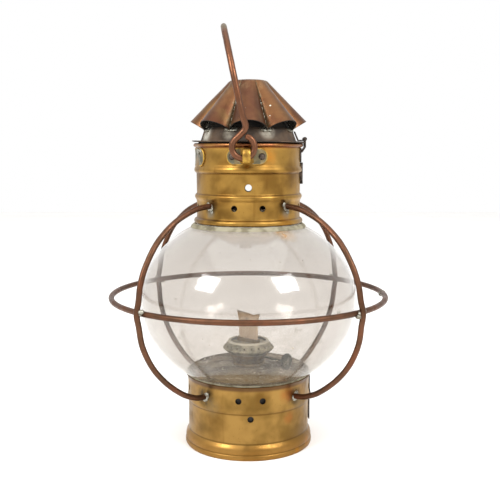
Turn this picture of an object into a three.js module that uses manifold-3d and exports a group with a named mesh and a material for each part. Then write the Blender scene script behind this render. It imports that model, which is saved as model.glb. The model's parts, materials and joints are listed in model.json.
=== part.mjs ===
// An onion-globe ship's lantern: a brass base and band held apart by four bent rods and a guard ring,
// a blown glass globe between them, a hinged lid with a fluted crown, a leaning carrying bail,
// and a flat-wick oil burner on a font that drops out through the base.
// Millimetres, +Z up, the front is -Y. The origin is at the centre of the foot's bottom edge.
import * as THREE from "three";
import { mergeVertices } from "three/addons/utils/BufferGeometryUtils.js";
import Module from "manifold-3d";

const wasm = await Module();
wasm.setup();

// ---- Driving dimensions ----

const FACETS = 30; // sides of every large turned piece
const SMALL_FACETS = 18; // sides of the turned pieces of the burner
const ROD_SIDES = 8;
const SHEET = 0.9; // brass and copper sheet
const GAP = 0.3; // left between pieces that touch

const BASE_R = 61.6; // outside of the base wall above its swage
const BASE_LOW_R = 61.1; // below the swage
const BASE_TOP = 72.2;
const FOOT_R = 64.8;
const BASE_TURN = 2; // the base sits this many degrees round from the band

const BAND_R = 51.3;
const BAND_BOTTOM = 224.6;
const BAND_TOP = 303.2;
const RIM_R = 54.6; // rolled edges of the band

const GLOBE_R = 109.7;
const GLOBE_HALF_HEIGHT = 88;
const GLOBE_Z = 145.6;
const GLASS = 2.2;
const GLOBE_FOOT_Z = 73;
const GLOBE_MOUTH_R = 60.2; // inside of the globe's lower opening, which the font passes
const GLOBE_NECK_R = 49.6;
const GLOBE_NECK_TOP = 233;

const ROD_R = 2.75; // ribs and guard ring
const RING_R = 137;
const RING_Z = 151.5;
const RIB_TOP_Z = 243;
const RIB_FOOT_Z = 58.2;

const PLATE_WIDTH = 39;
const PLATE_BOTTOM = 282.3;
const PLATE_TOP = 298.6;
const PLATE_IN = BAND_R + GAP;
const PLATE_OUT = PLATE_IN + 1.2;
const LUG_TURN = -1.4; // the lugs sit slightly left of the front
const RIVET_OFFSET = 13.9;
const RIVET_SHANK_R = 1.3;
const STAPLE_WIDTH = 5.8;
const STAPLE_OUT = 65.4;

const BAIL_R = 3; // rod radius
const EYE_X = -4.6;
const EYE_Z = 299;
const EYE_R = 10.3; // centre line of each eye
const EYE_OUT = 60.5; // distance of each eye's plane from the middle
const LEG_OUT = 63;
const LEG_OFFSET = 4.9; // the legs pass this far right of the eye centres
const BAIL_HEIGHT = 117.9; // from the eye centres to the top of the bail's centre line
const LEG_STRAIGHT = 54; // where the legs end and the arch begins
const BAIL_LEAN = 11.8;

const FLANGE_R = 56.5;
const FLANGE_Z = 303.9;
const FLANGE_TOP = 305;
const CONE_FOOT_R = 47.4;
const CONE_TOP_Z = 346; // the cone narrows on inside the crown to a vent
const CROWN_LOBES = 8;
const CROWN_TOP = 365;
const HINGE_X = 55.6;
const HINGE_Z = 307.2;
const KNUCKLE_R = 2;
const PIN_R = 0.95;
const PIN_BORE_R = 1.02;

const TANK_R = 59;
const TANK_BOTTOM = 3.2;
const TANK_RIM = 76.8;
const NECK_R = 14.7;
const COLLAR_BORE = 13.5;
const BURNER_TURN = -40; // the wick's width and the spindle lie along this direction from +X
const WICK_WIDTH = 24;
const WICK_THICK = 3;
const WICK_TOP = 134;
const TUBE_WALL = 0.6;
const SPINDLE_Z = 87.9;
const SPINDLE_BACK = 4.9; // how far the spindle runs behind the middle of the wick
const SPINDLE_R = 1.1;
const KNOB_X = 45;
const KNOB_R = 8;

const rad = THREE.MathUtils.degToRad;

// ---- Helpers ----

function asSolid(geometry) {
  const bare = geometry.clone();
  bare.deleteAttribute("normal");
  bare.deleteAttribute("uv");
  const merged = mergeVertices(bare, 1e-3);
  return new wasm.Manifold(
    new wasm.Mesh({
      numProp: 3,
      vertProperties: merged.attributes.position.array,
      triVerts: new Uint32Array(merged.index.array),
    }),
  );
}

function asGeometry(solid) {
  const { vertProperties, triVerts } = solid.getMesh();
  const geometry = new THREE.BufferGeometry();
  geometry.setAttribute("position", new THREE.BufferAttribute(vertProperties, 3));
  geometry.setIndex(new THREE.BufferAttribute(triVerts, 1));
  geometry.computeVertexNormals();
  return geometry;
}

// A geometry with other geometries cut out of it.
function cut(geometry, tools) {
  let solid = asSolid(geometry);
  for (const tool of tools) solid = solid.subtract(asSolid(tool));
  return asGeometry(solid);
}

function join(geometries) {
  let solid = asSolid(geometries[0]);
  for (const other of geometries.slice(1)) solid = solid.add(asSolid(other));
  return asGeometry(solid);
}

// A turned piece. The profile is [radius, z] points, up the outside and down the inside.
function turned(profile, facets = FACETS) {
  const points = profile.map(([r, z]) => new THREE.Vector2(r, z));
  const onAxis = profile[0][0] === 0 && profile.at(-1)[0] === 0;
  if (!onAxis) points.push(points[0].clone());
  return new THREE.LatheGeometry(points, facets).rotateX(Math.PI / 2);
}

// A cylinder lying along the line from the middle out to an azimuth, from one radius to another.
function radialCylinder(radius, azimuth, z, from, to, sides = 8) {
  return new THREE.CylinderGeometry(radius, radius, to - from, sides)
    .translate(0, -(from + to) / 2, z)
    .rotateZ(rad(azimuth));
}

function circleShape(radius, sides) {
  const points = [];
  for (let i = 0; i < sides; i++) {
    const a = (2 * Math.PI * i) / sides;
    points.push(new THREE.Vector2(radius * Math.cos(a), radius * Math.sin(a)));
  }
  return new THREE.Shape(points);
}

function rod(points, radius, steps) {
  return new THREE.ExtrudeGeometry(circleShape(radius, ROD_SIDES), {
    steps,
    bevelEnabled: false,
    extrudePath: new THREE.CatmullRomCurve3(points, false, "centripetal"),
  });
}

// An outline in x and z, given a thickness along y between two places.
function slab(outline, fromY, toY) {
  const isShape = outline instanceof THREE.Shape;
  const shape = isShape ? outline : new THREE.Shape(outline.map(([x, z]) => new THREE.Vector2(x, z)));
  return new THREE.ExtrudeGeometry(shape, { depth: toY - fromY, bevelEnabled: false, curveSegments: 3 })
    .rotateX(Math.PI / 2)
    .translate(0, toY, 0);
}

function roundedOutline(width, bottom, top, corner) {
  const half = width / 2;
  const shape = new THREE.Shape();
  shape.moveTo(-half + corner, bottom);
  shape.lineTo(half - corner, bottom);
  shape.absarc(half - corner, bottom + corner, corner, -Math.PI / 2, 0, false);
  shape.lineTo(half, top - corner);
  shape.absarc(half - corner, top - corner, corner, 0, Math.PI / 2, false);
  shape.lineTo(-half + corner, top);
  shape.absarc(-half + corner, top - corner, corner, Math.PI / 2, Math.PI, false);
  shape.lineTo(-half, bottom + corner);
  shape.absarc(-half + corner, bottom + corner, corner, Math.PI, Math.PI * 1.5, false);
  return shape;
}

// A plate bent round the band at the front, with a rounded outline.
function bentPlate(width, bottom, top, corner) {
  const shell = turned([
    [PLATE_OUT, bottom - 1],
    [PLATE_OUT, top + 1],
    [PLATE_IN, top + 1],
    [PLATE_IN, bottom - 1],
  ]);
  const blank = slab(roundedOutline(width, bottom, top, corner), -70, -20);
  return asGeometry(asSolid(shell).intersect(asSolid(blank)));
}

const lantern = new THREE.Group();
const frame = new THREE.Group();
const lid = new THREE.Group();
const bail = new THREE.Group();
const font = new THREE.Group();
const burner = new THREE.Group();
lantern.add(frame, lid, bail, font);
font.add(burner);
burner.rotation.z = rad(BURNER_TURN);

const FINISHES = {
  brass: { color: 0xa87a2d, roughness: 0.42, metalness: 1 },
  baseBrass: { color: 0xa57832, roughness: 0.42, metalness: 1 },
  copperRod: { color: 0x6e4632, roughness: 0.5, metalness: 0.9 },
  crownCopper: { color: 0x8a5a32, roughness: 0.45, metalness: 0.9 },
  oldTin: { color: 0x5f5041, roughness: 0.65, metalness: 0.7 },
  plateBrass: { color: 0x968250, roughness: 0.5, metalness: 0.9 },
  rivetIron: { color: 0x554b46, roughness: 0.6, metalness: 0.8 },
  glass: { color: 0xf2efe8, roughness: 0.03, metalness: 0, transparent: true, opacity: 0.3 },
  putty: { color: 0x6f6a52, roughness: 0.9, metalness: 0 },
  tankTin: { color: 0x6e695f, roughness: 0.7, metalness: 0.5 },
  galleryTin: { color: 0x96917d, roughness: 0.6, metalness: 0.6 },
  bowlBrass: { color: 0x7d6946, roughness: 0.55, metalness: 0.8 },
  knobBrass: { color: 0x5a5a50, roughness: 0.6, metalness: 0.8 },
  cotton: { color: 0xc3aa8c, roughness: 0.95, metalness: 0 },
};

function place(group, name, geometry, finish, azimuth = 0) {
  const mesh = new THREE.Mesh(geometry, new THREE.MeshStandardMaterial(FINISHES[finish]));
  mesh.name = name;
  mesh.rotation.z = rad(azimuth);
  group.add(mesh);
}

// ---- Base ----

const QUARTERS = [0, 90, 180, 270];
const BASE_HOLE_R = 3.05;
const BASE_PAIR_ANGLE = 10.9;

function baseShell() {
  const wallIn = BASE_R - SHEET;
  const lowIn = BASE_LOW_R - SHEET;
  const shell = turned([
    [FOOT_R - 0.5, 0],
    [FOOT_R, 1.4],
    [FOOT_R, 4],
    [63.9, 5.4],
    [64.3, 7],
    [63.9, 10.2],
    [62.7, 13],
    [60.9, 14.8],
    [BASE_LOW_R, 17.5],
    [BASE_LOW_R, 45],
    [62.1, 46.4],
    [62.3, 49.4],
    [BASE_R, 53],
    [BASE_R, 67],
    [62.7, 70],
    [64.2, BASE_TOP],
    [63.4, BASE_TOP + 0.6],
    [61.8, 70.2],
    [wallIn, 67.2],
    [wallIn, 52.6],
    [61.4, 48.6],
    [lowIn, 45.2],
    [lowIn, 17.4],
    [60, 14.9],
    [61.9, 12.2],
    [63, 9.8],
    [63.3, 7],
    [62.6, 5.2],
    [62.3, 0],
  ]);
  const holes = [];
  for (const quarter of QUARTERS) {
    for (const side of [-1, 1]) {
      holes.push(radialCylinder(BASE_HOLE_R, quarter + side * BASE_PAIR_ANGLE, 58.3, 55, 66));
    }
    holes.push(radialCylinder(BASE_HOLE_R, quarter, 40.4, 55, 66));
  }
  return cut(shell, holes);
}
place(frame, "base_shell", baseShell(), "baseBrass", BASE_TURN);

// Three spring tongues soldered inside the base wall press on the font.
function fontSpring() {
  const strip = turned([
    [59.9, 20],
    [59.9, 42],
    [59.4, 42],
    [59.4, 20],
  ]);
  const window = new THREE.BoxGeometry(11, 30, 60).translate(0, -60, 31);
  return asGeometry(asSolid(strip).intersect(asSolid(window)));
}
["front", "left", "right"].forEach((side, i) => {
  place(frame, `font_spring_${side}`, fontSpring(), "plateBrass", [30, -90, 150][i]);
});

place(
  frame,
  "globe_seat_lower",
  turned([
    [60.8, 69.2],
    [62.2, 71.8],
    [62.2, 72.7],
    [60, 72.7],
    [59.9, 69.4],
  ]),
  "putty",
);

// ---- Band ----

const BAND_HOLE_R = 3.5;
const BAND_HOLE_Z = 258.8;
const BAND_HOLE_TILT = 2.2; // the single holes sit this much higher at the front and lower at the back
const BAND_PAIR_R = 3;
const BAND_PAIR_ANGLE = 15.2;
const PLATE_MIDDLE = (PLATE_BOTTOM + PLATE_TOP) / 2;
const RIVET_ANGLE = THREE.MathUtils.radToDeg(Math.asin(RIVET_OFFSET / PLATE_OUT));

// The azimuths of the two lugs, front and back, and of each lug's two rivets.
const LUGS = [
  ["front", LUG_TURN],
  ["back", 180 - LUG_TURN],
];
const rivetSpots = LUGS.flatMap(([side, azimuth]) => [
  [`lug_rivet_${side}_left`, azimuth - RIVET_ANGLE],
  [`lug_rivet_${side}_right`, azimuth + RIVET_ANGLE],
]);

function upperBand() {
  const inside = BAND_R - SHEET;
  const shell = turned([
    [52.6, BAND_BOTTOM],
    [54, 225.2],
    [RIM_R, 227.2],
    [54, 229.4],
    [52.4, 230.2],
    [BAND_R, 230.8],
    [BAND_R, 247.2],
    [52.4, 248.8],
    [53.2, 251],
    [53, 253],
    [BAND_R, 254.4],
    [BAND_R, 274.2],
    [52.7, 275],
    [53.4, 277],
    [52.7, 279.8],
    [BAND_R, 281.6],
    [BAND_R, 299],
    [53.2, 299.3],
    [54.4, 300.3],
    [RIM_R, 301.5],
    [54, 302.8],
    [52.6, BAND_TOP],
    [inside, BAND_TOP],
    [inside, 281],
    [52.3, 277.2],
    [inside, 274.6],
    [inside, 253.8],
    [52.1, 251.4],
    [inside, 247.6],
    [inside, BAND_BOTTOM],
  ]);
  const holes = [];
  for (const quarter of QUARTERS) {
    const z = BAND_HOLE_Z + BAND_HOLE_TILT * Math.cos(rad(quarter));
    holes.push(radialCylinder(BAND_HOLE_R, quarter, z, 45, 57));
    for (const side of [-1, 1]) {
      holes.push(radialCylinder(BAND_PAIR_R, quarter + side * BAND_PAIR_ANGLE, 241.6, 45, 57));
    }
  }
  for (const [, azimuth] of rivetSpots) {
    holes.push(radialCylinder(RIVET_SHANK_R + GAP, azimuth, PLATE_MIDDLE, 45, 57, 8));
  }
  return cut(shell, holes);
}
place(frame, "upper_band", upperBand(), "brass");

place(
  frame,
  "globe_stop_ring",
  turned([
    [50.1, GLOBE_NECK_TOP + GAP],
    [50.1, GLOBE_NECK_TOP + 1.5],
    [47, GLOBE_NECK_TOP + 1.5],
    [47, GLOBE_NECK_TOP + GAP],
  ]),
  "oldTin",
);

// ---- Globe ----

// Height of an ellipsoid above its middle at a radius.
function ellipsoidHeight(r, maxR, halfHeight) {
  return halfHeight * Math.sqrt(1 - (r / maxR) ** 2);
}

// Points of the globe's wall from low on its foot to its shoulder, this far inside its outer face.
function globeWall(inset, count) {
  const maxR = GLOBE_R - inset;
  const half = GLOBE_HALF_HEIGHT - inset;
  const start = Math.asin((GLOBE_FOOT_Z + inset * 1.4 - GLOBE_Z) / half);
  const end = Math.acos((52.6 - inset) / maxR);
  const points = [];
  for (let i = 0; i <= count; i++) {
    const a = start + ((end - start) * i) / count;
    points.push([maxR * Math.cos(a), GLOBE_Z + half * Math.sin(a)]);
  }
  return points;
}

place(
  frame,
  "globe",
  turned([
    ...globeWall(0, 9),
    [GLOBE_NECK_R + 0.5, 223.9],
    [GLOBE_NECK_R, 225.2],
    [GLOBE_NECK_R, GLOBE_NECK_TOP],
    [GLOBE_NECK_R - GLASS, GLOBE_NECK_TOP],
    [GLOBE_NECK_R - GLASS, 224.4],
    ...globeWall(GLASS, 8).reverse(),
    [GLOBE_MOUTH_R, GLOBE_FOOT_Z],
  ]),
  "glass",
);

// Putty pressed under the band's lower edge onto the globe's shoulder.
function shoulderPutty() {
  const onGlobe = (r) => [r, GLOBE_Z + ellipsoidHeight(r, GLOBE_R, GLOBE_HALF_HEIGHT) + GAP];
  const under = [53.9, 57, 60.4].map(onGlobe);
  return turned([under[2], [60.8, 219.6], [57.6, 222.3], [54.6, 224], [53.8, 224.2], under[0], under[1]]);
}
place(frame, "shoulder_putty", shoulderPutty(), "putty");

// ---- Guard: one ring inside four bent ribs ----

const ring = new THREE.TorusGeometry(RING_R, ROD_R, ROD_SIDES, 44).translate(0, 0, RING_Z);
place(frame, "guard_ring", ring, "copperRod");

// A rib's centre line as [radius, z], with a kink that carries it outside the ring.
const RIB_LINE = [
  [BAND_R + GAP, RIB_TOP_Z],
  [61, 242.4],
  [73, 240],
  [94.5, 230.8],
  [115.5, 214.6],
  [130, 194.6],
  [137.4, 177],
  [140, 163],
  [RING_R + 2 * ROD_R + GAP, RING_Z],
  [140.8, 140],
  [137.2, 121],
  [126.8, 100.4],
  [111.6, 83],
  [92.2, 68],
  [76, 60.4],
  [67, RIB_FOOT_Z + 0.3],
  [BASE_R + 2 * GAP, RIB_FOOT_Z],
];

function rib(azimuth) {
  const points = RIB_LINE.map(([r, z]) => {
    const turn = (BASE_TURN * (RIB_TOP_Z - z)) / (RIB_TOP_Z - RIB_FOOT_Z);
    const a = rad(azimuth + turn);
    return new THREE.Vector3(r * Math.sin(a), -r * Math.cos(a), z);
  });
  return rod(points, ROD_R, 24);
}
[
  ["guard_rib_front_right", 45],
  ["guard_rib_back_right", 135],
  ["guard_rib_back_left", -135],
  ["guard_rib_front_left", -45],
].forEach(([name, azimuth]) => place(frame, name, rib(azimuth), "copperRod"));

// ---- Bail lugs ----

function lugPlate() {
  const holes = [-1, 1].map((side) =>
    radialCylinder(RIVET_SHANK_R + GAP, side * RIVET_ANGLE, PLATE_MIDDLE, 45, 57, 8),
  );
  return cut(bentPlate(PLATE_WIDTH, PLATE_BOTTOM, PLATE_TOP, 7.4), holes);
}

// A strap bent outwards over the bail's eye, its two feet on the plate.
function lugStaple() {
  const foot = PLATE_OUT + GAP;
  const out = STAPLE_OUT;
  const strap = 1.5;
  const low = 283.2;
  const high = 298.3;
  const outline = [
    [foot, low],
    [out - 2.5, low],
    [out, low + 2.5],
    [out, high - 2.5],
    [out - 2.5, high],
    [foot, high],
    [foot, high - strap],
    [out - 3, high - strap],
    [out - strap, high - 3],
    [out - strap, low + 3],
    [out - 3, low + strap],
    [foot, low + strap],
  ];
  return slab(outline, -STAPLE_WIDTH / 2, STAPLE_WIDTH / 2).rotateZ(-Math.PI / 2);
}

// A round-headed rivet whose shank passes through the plate and the band.
function rivet() {
  const head = turned(
    [
      [0, -1.5],
      [RIVET_SHANK_R, -1.5],
      [RIVET_SHANK_R, 1.8],
      [3.2, 1.8],
      [2.6, 3],
      [0, 3.7],
    ],
    10,
  );
  return head.rotateX(Math.PI / 2).translate(0, -BAND_R, PLATE_MIDDLE);
}

LUGS.forEach(([side, azimuth]) => {
  place(frame, `lug_plate_${side}`, lugPlate(), "plateBrass", azimuth);
  place(frame, `lug_staple_${side}`, lugStaple(), "plateBrass", azimuth);
});
rivetSpots.forEach(([name, azimuth]) => place(frame, name, rivet(), "rivetIron", azimuth));

// The plate on the left of the band that the closed lid bears down on.
place(frame, "catch_plate", bentPlate(36, 282, PLATE_TOP, 7.4), "plateBrass", -74);

// ---- Lid hinge: fixed leaf, pin and moving leaf, on the right ----

const HINGE_HALF = 8;
const MIDDLE_KNUCKLE = 2.7;

function knuckle(fromY, toY) {
  const barrel = new THREE.CylinderGeometry(KNUCKLE_R, KNUCKLE_R, toY - fromY, 12);
  return barrel.translate(HINGE_X, (fromY + toY) / 2, HINGE_Z);
}
function pinBore() {
  return new THREE.CylinderGeometry(PIN_BORE_R, PIN_BORE_R, 40, 12).translate(HINGE_X, 0, HINGE_Z);
}

function bandLeaf() {
  const plate = bentPlate(20, 284.5, 298.4, 4).rotateZ(Math.PI / 2);
  const arm = slab(
    [
      [52, 294],
      [53.2, 294],
      [56.6, 299.2],
      [56.6, HINGE_Z],
      [55, HINGE_Z],
      [55, 299.4],
      [52, 295.2],
    ],
    -HINGE_HALF,
    HINGE_HALF,
  );
  const middle = new THREE.BoxGeometry(12, 2 * MIDDLE_KNUCKLE + 2 * GAP, 12);
  middle.translate(HINGE_X, 0, HINGE_Z + 2.5);
  const knuckles = [knuckle(-HINGE_HALF, HINGE_HALF)];
  return cut(join([plate, arm, ...knuckles]), [middle, pinBore()]);
}
place(frame, "hinge_leaf_band", bandLeaf(), "plateBrass");
place(
  frame,
  "hinge_pin",
  new THREE.CylinderGeometry(PIN_R, PIN_R, 2 * HINGE_HALF + 1.6, 12).translate(HINGE_X, 0, HINGE_Z),
  "rivetIron",
);

// A strap from the middle knuckle over the flange and up the flank of the cone.
function lidLeaf() {
  const strap = slab(
    [
      [HINGE_X, 305.3],
      [HINGE_X, 306.5],
      [49.6, 306.5],
      [46, 314.8],
      [44.8, 314.4],
      [48.3, 305.8],
      [48.9, 305.3],
    ],
    -MIDDLE_KNUCKLE,
    MIDDLE_KNUCKLE,
  );
  return cut(join([strap, knuckle(-MIDDLE_KNUCKLE, MIDDLE_KNUCKLE)]), [pinBore()]);
}
place(lid, "hinge_leaf_lid", lidLeaf(), "plateBrass");

// ---- Lid ----

function lidFlange() {
  const disc = turned([
    [FLANGE_R, FLANGE_Z],
    [FLANGE_R, FLANGE_TOP],
    [41, FLANGE_TOP],
    [41, FLANGE_Z],
  ]);
  const notch = new THREE.BoxGeometry(8, 2 * HINGE_HALF + 1.2, 6).translate(54 + 4, 0, FLANGE_Z);
  return cut(disc, [notch]);
}
place(lid, "lid_flange", lidFlange(), "oldTin");
place(
  lid,
  "lid_spigot",
  turned([
    [49.6, 295.6],
    [49.6, FLANGE_Z - GAP],
    [48.7, FLANGE_Z - GAP],
    [48.7, 295.6],
  ]),
  "oldTin",
);
place(
  lid,
  "lid_cone",
  turned([
    [CONE_FOOT_R, FLANGE_TOP + GAP],
    [44, 314.2],
    [43.4, 316.2],
    [40.8, 318.2],
    [26, CONE_TOP_Z - 1.5],
    [22, CONE_TOP_Z],
    [22, CONE_TOP_Z - SHEET],
    [25.2, CONE_TOP_Z - 2.3],
    [40, 317.6],
    [42.4, 315.8],
    [43, 314],
    [CONE_FOOT_R - 1, FLANGE_TOP + GAP],
  ]),
  "oldTin",
);

// The fluted crown: a flat top, then eight round lobes that widen down to an open hem,
// with a sharp valley between each two.
function crown() {
  const columns = CROWN_LOBES * 8;
  const rows = [0, 0.08, 0.4, 0.7, 1];
  const ridge = { topR: 18.4, topZ: 363.6, hemR: 57.2, hemZ: 324.2 };
  const valley = { topR: 17.6, topZ: 363.4, hemR: 45.6, hemZ: 315 };
  const wall = 0.7;
  const positions = [];
  const point = (column, t, inset) => {
    const azimuth = (2 * Math.PI * column) / columns;
    const across = ((((column / columns) * CROWN_LOBES + 0.5) % 1) - 0.5) * 2;
    const arch = Math.max(0, Math.cos((Math.PI / 2) * across)) ** 0.75;
    const mix = (key) => valley[key] + (ridge[key] - valley[key]) * arch;
    const r = mix("topR") + (mix("hemR") - mix("topR")) * t - inset;
    const z = mix("topZ") + (mix("hemZ") - mix("topZ")) * t - inset;
    positions.push(r * Math.sin(azimuth), -r * Math.cos(azimuth), z);
  };
  for (const inset of [0, wall]) {
    for (const t of rows) {
      for (let column = 0; column < columns; column++) point(column, t, inset);
    }
  }
  const outerTop = positions.length / 3;
  positions.push(0, 0, CROWN_TOP);
  const innerTop = outerTop + 1;
  positions.push(0, 0, CROWN_TOP - 1.2);
  const at = (face, row, column) => (face * rows.length + row) * columns + (column % columns);
  const index = [];
  const quad = (a, b, c, d) => index.push(a, b, c, a, c, d);
  const last = rows.length - 1;
  for (let column = 0; column < columns; column++) {
    const next = column + 1;
    for (let row = 0; row < last; row++) {
      quad(at(0, row, column), at(0, row + 1, column), at(0, row + 1, next), at(0, row, next));
      quad(at(1, row, next), at(1, row + 1, next), at(1, row + 1, column), at(1, row, column));
    }
    quad(at(0, last, column), at(1, last, column), at(1, last, next), at(0, last, next));
    index.push(outerTop, at(0, 0, column), at(0, 0, next));
    index.push(innerTop, at(1, 0, next), at(1, 0, column));
  }
  const geometry = new THREE.BufferGeometry();
  geometry.setAttribute("position", new THREE.Float32BufferAttribute(positions, 3));
  geometry.setIndex(index);
  geometry.computeVertexNormals();
  return geometry;
}
place(lid, "crown", crown(), "crownCopper");

// ---- Bail ----

// Half of the bail's centre line, in its own plane: across, outwards, up. It starts at the free end
// of the eye, goes round the eye, turns at the neck and runs up the leg to the top of the arch.
function bailHalf() {
  const points = [];
  for (let a = 420; a >= 120; a -= 15) {
    points.push([EYE_R * Math.cos(rad(a)), EYE_OUT, EYE_R * Math.sin(rad(a))]);
  }
  points.push([-0.6, EYE_OUT, 11.6]);
  points.push([4.2, EYE_OUT + 0.2, 15]);
  points.push([6.2, EYE_OUT + 0.9, 19.4]);
  points.push([LEG_OFFSET + 0.4, EYE_OUT + 2, 26]);
  points.push([LEG_OFFSET, LEG_OUT, 34]);
  points.push([LEG_OFFSET, LEG_OUT, 44]);
  const rise = BAIL_HEIGHT - LEG_STRAIGHT;
  for (let a = 0; a < 90; a += 11.25) {
    points.push([LEG_OFFSET, LEG_OUT * Math.cos(rad(a)), LEG_STRAIGHT + rise * Math.sin(rad(a))]);
  }
  return points;
}

function bailHandle() {
  const half = bailHalf();
  const front = half.map(([x, out, up]) => new THREE.Vector3(x, -out, up));
  const back = half.map(([x, out, up]) => new THREE.Vector3(x, out, up)).reverse();
  const top = new THREE.Vector3(LEG_OFFSET, 0, BAIL_HEIGHT);
  return rod([...front, top, ...back], BAIL_R, 92);
}
place(bail, "bail_handle", bailHandle(), "copperRod");
bail.position.set(EYE_X, 0, EYE_Z);
bail.rotation.y = -rad(BAIL_LEAN);

// ---- Font and burner ----

place(
  font,
  "font_tank",
  turned([
    [0, TANK_BOTTOM],
    [57.6, TANK_BOTTOM],
    [TANK_R, 4.6],
    [TANK_R, 75.6],
    [58, TANK_RIM],
    [56.6, 76.2],
    [NECK_R, 78.2],
    [NECK_R, 77.4],
    [56.6, 75.4],
    [58.2, 74.6],
    [58.2, 5],
    [57.2, 4],
    [0, 4],
  ]),
  "tankTin",
);
place(
  font,
  "burner_collar",
  turned(
    [
      [14.3, 73.6],
      [14.3, 78.5],
      [16.6, 78.5],
      [17, 80.4],
      [16.6, 82.5],
      [COLLAR_BORE, 82.5],
      [COLLAR_BORE, 73.6],
    ],
    SMALL_FACETS,
  ),
  "bowlBrass",
);

function spindleHole(radius) {
  const hole = new THREE.CylinderGeometry(radius, radius, 60, 10).rotateZ(Math.PI / 2);
  return hole.translate(30, SPINDLE_BACK, SPINDLE_Z);
}

const bowl = turned(
  [
    [16.2, 82.8],
    [17, 84.8],
    [18.8, 87.8],
    [20.2, 91.2],
    [19.3, 91.2],
    [17.9, 88.1],
    [16.2, 85.2],
    [15.6, 83.7],
    [COLLAR_BORE, 83.7],
    [COLLAR_BORE, 82.8],
  ],
  36,
);
place(burner, "burner_bowl", cut(bowl, [spindleHole(SPINDLE_R + 0.2)]), "bowlBrass");
place(
  burner,
  "burner_gallery",
  turned(
    [
      [20.4, 91.5],
      [23.6, 93],
      [25.7, 95.4],
      [25.9, 97],
      [25.1, 98.9],
      [20.8, 103.6],
      [19.6, 104.3],
      [17.8, 104.3],
      [17.8, 103.3],
      [19.5, 103],
      [24.2, 98.2],
      [24.8, 96.8],
      [24.4, 95.6],
      [22.8, 93.9],
      [19.4, 92.4],
      [19.4, 91.5],
    ],
    SMALL_FACETS,
  ),
  "galleryTin",
);

const TUBE_X = WICK_WIDTH / 2 + 0.3 + TUBE_WALL;
const TUBE_Y = WICK_THICK / 2 + 0.4 + TUBE_WALL;
const WHEEL_R = SPINDLE_BACK - WICK_THICK / 2 - 0.25;

function wickTube() {
  const outer = new THREE.BoxGeometry(2 * TUBE_X, 2 * TUBE_Y, 38).translate(0, 0, 87);
  const inner = new THREE.BoxGeometry(2 * (TUBE_X - TUBE_WALL), 2 * (TUBE_Y - TUBE_WALL), 60);
  inner.translate(0, 0, 87);
  const wheelWindow = new THREE.BoxGeometry(7, 6, 2 * WHEEL_R + 1.5).translate(0, TUBE_Y, SPINDLE_Z);
  return cut(outer, [inner, wheelWindow]);
}
place(burner, "wick_tube", wickTube(), "bowlBrass");

// The plate inside the gallery's top that steadies the wick tube.
function draughtPlate() {
  const disc = turned(
    [
      [0, 101.2],
      [17.4, 101.2],
      [17.4, 102.1],
      [0, 102.1],
    ],
    SMALL_FACETS,
  );
  const slot = new THREE.BoxGeometry(2 * TUBE_X + 0.6, 2 * TUBE_Y + 0.6, 6).translate(0, 0, 101);
  return cut(disc, [slot]);
}
place(burner, "draught_plate", draughtPlate(), "galleryTin");

// The flat cotton wick: straight in its tube and frayed wide at the burnt top.
place(
  burner,
  "wick",
  slab(
    [
      [-WICK_WIDTH / 2, 26],
      [WICK_WIDTH / 2, 26],
      [WICK_WIDTH / 2, 119],
      [WICK_WIDTH / 2 + 1.6, 127],
      [WICK_WIDTH / 2 + 3, WICK_TOP - 2.2],
      [6, WICK_TOP - 2.8],
      [-WICK_WIDTH / 2 - 3, WICK_TOP],
      [-WICK_WIDTH / 2 - 1.6, 127],
      [-WICK_WIDTH / 2, 119],
    ],
    -WICK_THICK / 2,
    WICK_THICK / 2,
  ),
  "cotton",
);

function alongSpindle(geometry, x) {
  return geometry.rotateZ(Math.PI / 2).translate(x, SPINDLE_BACK, SPINDLE_Z);
}
const KNOB_THICK = 3.2;
const SPINDLE_START = -8;
const SPINDLE_END = KNOB_X - KNOB_THICK / 2 - GAP;
place(
  burner,
  "wick_spindle",
  alongSpindle(
    new THREE.CylinderGeometry(SPINDLE_R, SPINDLE_R, SPINDLE_END - SPINDLE_START, 10),
    (SPINDLE_START + SPINDLE_END) / 2,
  ),
  "knobBrass",
);

// A toothed wheel pushed on the spindle, whose points bite the wick through the window in its tube.
function wickWheel() {
  const teeth = 10;
  const points = [];
  for (let i = 0; i < 2 * teeth; i++) {
    const r = i % 2 ? WHEEL_R - 0.7 : WHEEL_R;
    const a = (Math.PI * i) / teeth;
    points.push(new THREE.Vector2(r * Math.cos(a), r * Math.sin(a)));
  }
  const disc = new THREE.ExtrudeGeometry(new THREE.Shape(points), { depth: 3, bevelEnabled: false });
  disc.rotateY(Math.PI / 2).translate(-1.5, SPINDLE_BACK, SPINDLE_Z);
  return cut(disc, [spindleHole(SPINDLE_R + GAP).translate(-30, 0, 0)]);
}
place(burner, "wick_wheel", wickWheel(), "knobBrass");

function wickKnob() {
  const disc = new THREE.CylinderGeometry(KNOB_R, KNOB_R, KNOB_THICK, 28);
  const boss = new THREE.CylinderGeometry(2.6, 2.6, 2, 12).translate(0, -KNOB_THICK / 2 - 0.9, 0);
  return alongSpindle(join([disc, boss]), KNOB_X);
}
place(burner, "wick_knob", wickKnob(), "knobBrass");

export default lantern;
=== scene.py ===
"""An onion-globe ship's lantern: the finished surfaces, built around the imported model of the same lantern.

Every piece is made in metres in the model's own frame: +Z up, the front towards -Y, the foot on z = 0.
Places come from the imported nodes' boxes. Sizes that only the look needs are given in millimetres.
"""

import json
import math

import bmesh
import bpy
from bpy.props import FloatProperty, FloatVectorProperty, IntProperty, PointerProperty
from mathutils import Matrix, Vector, noise


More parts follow.
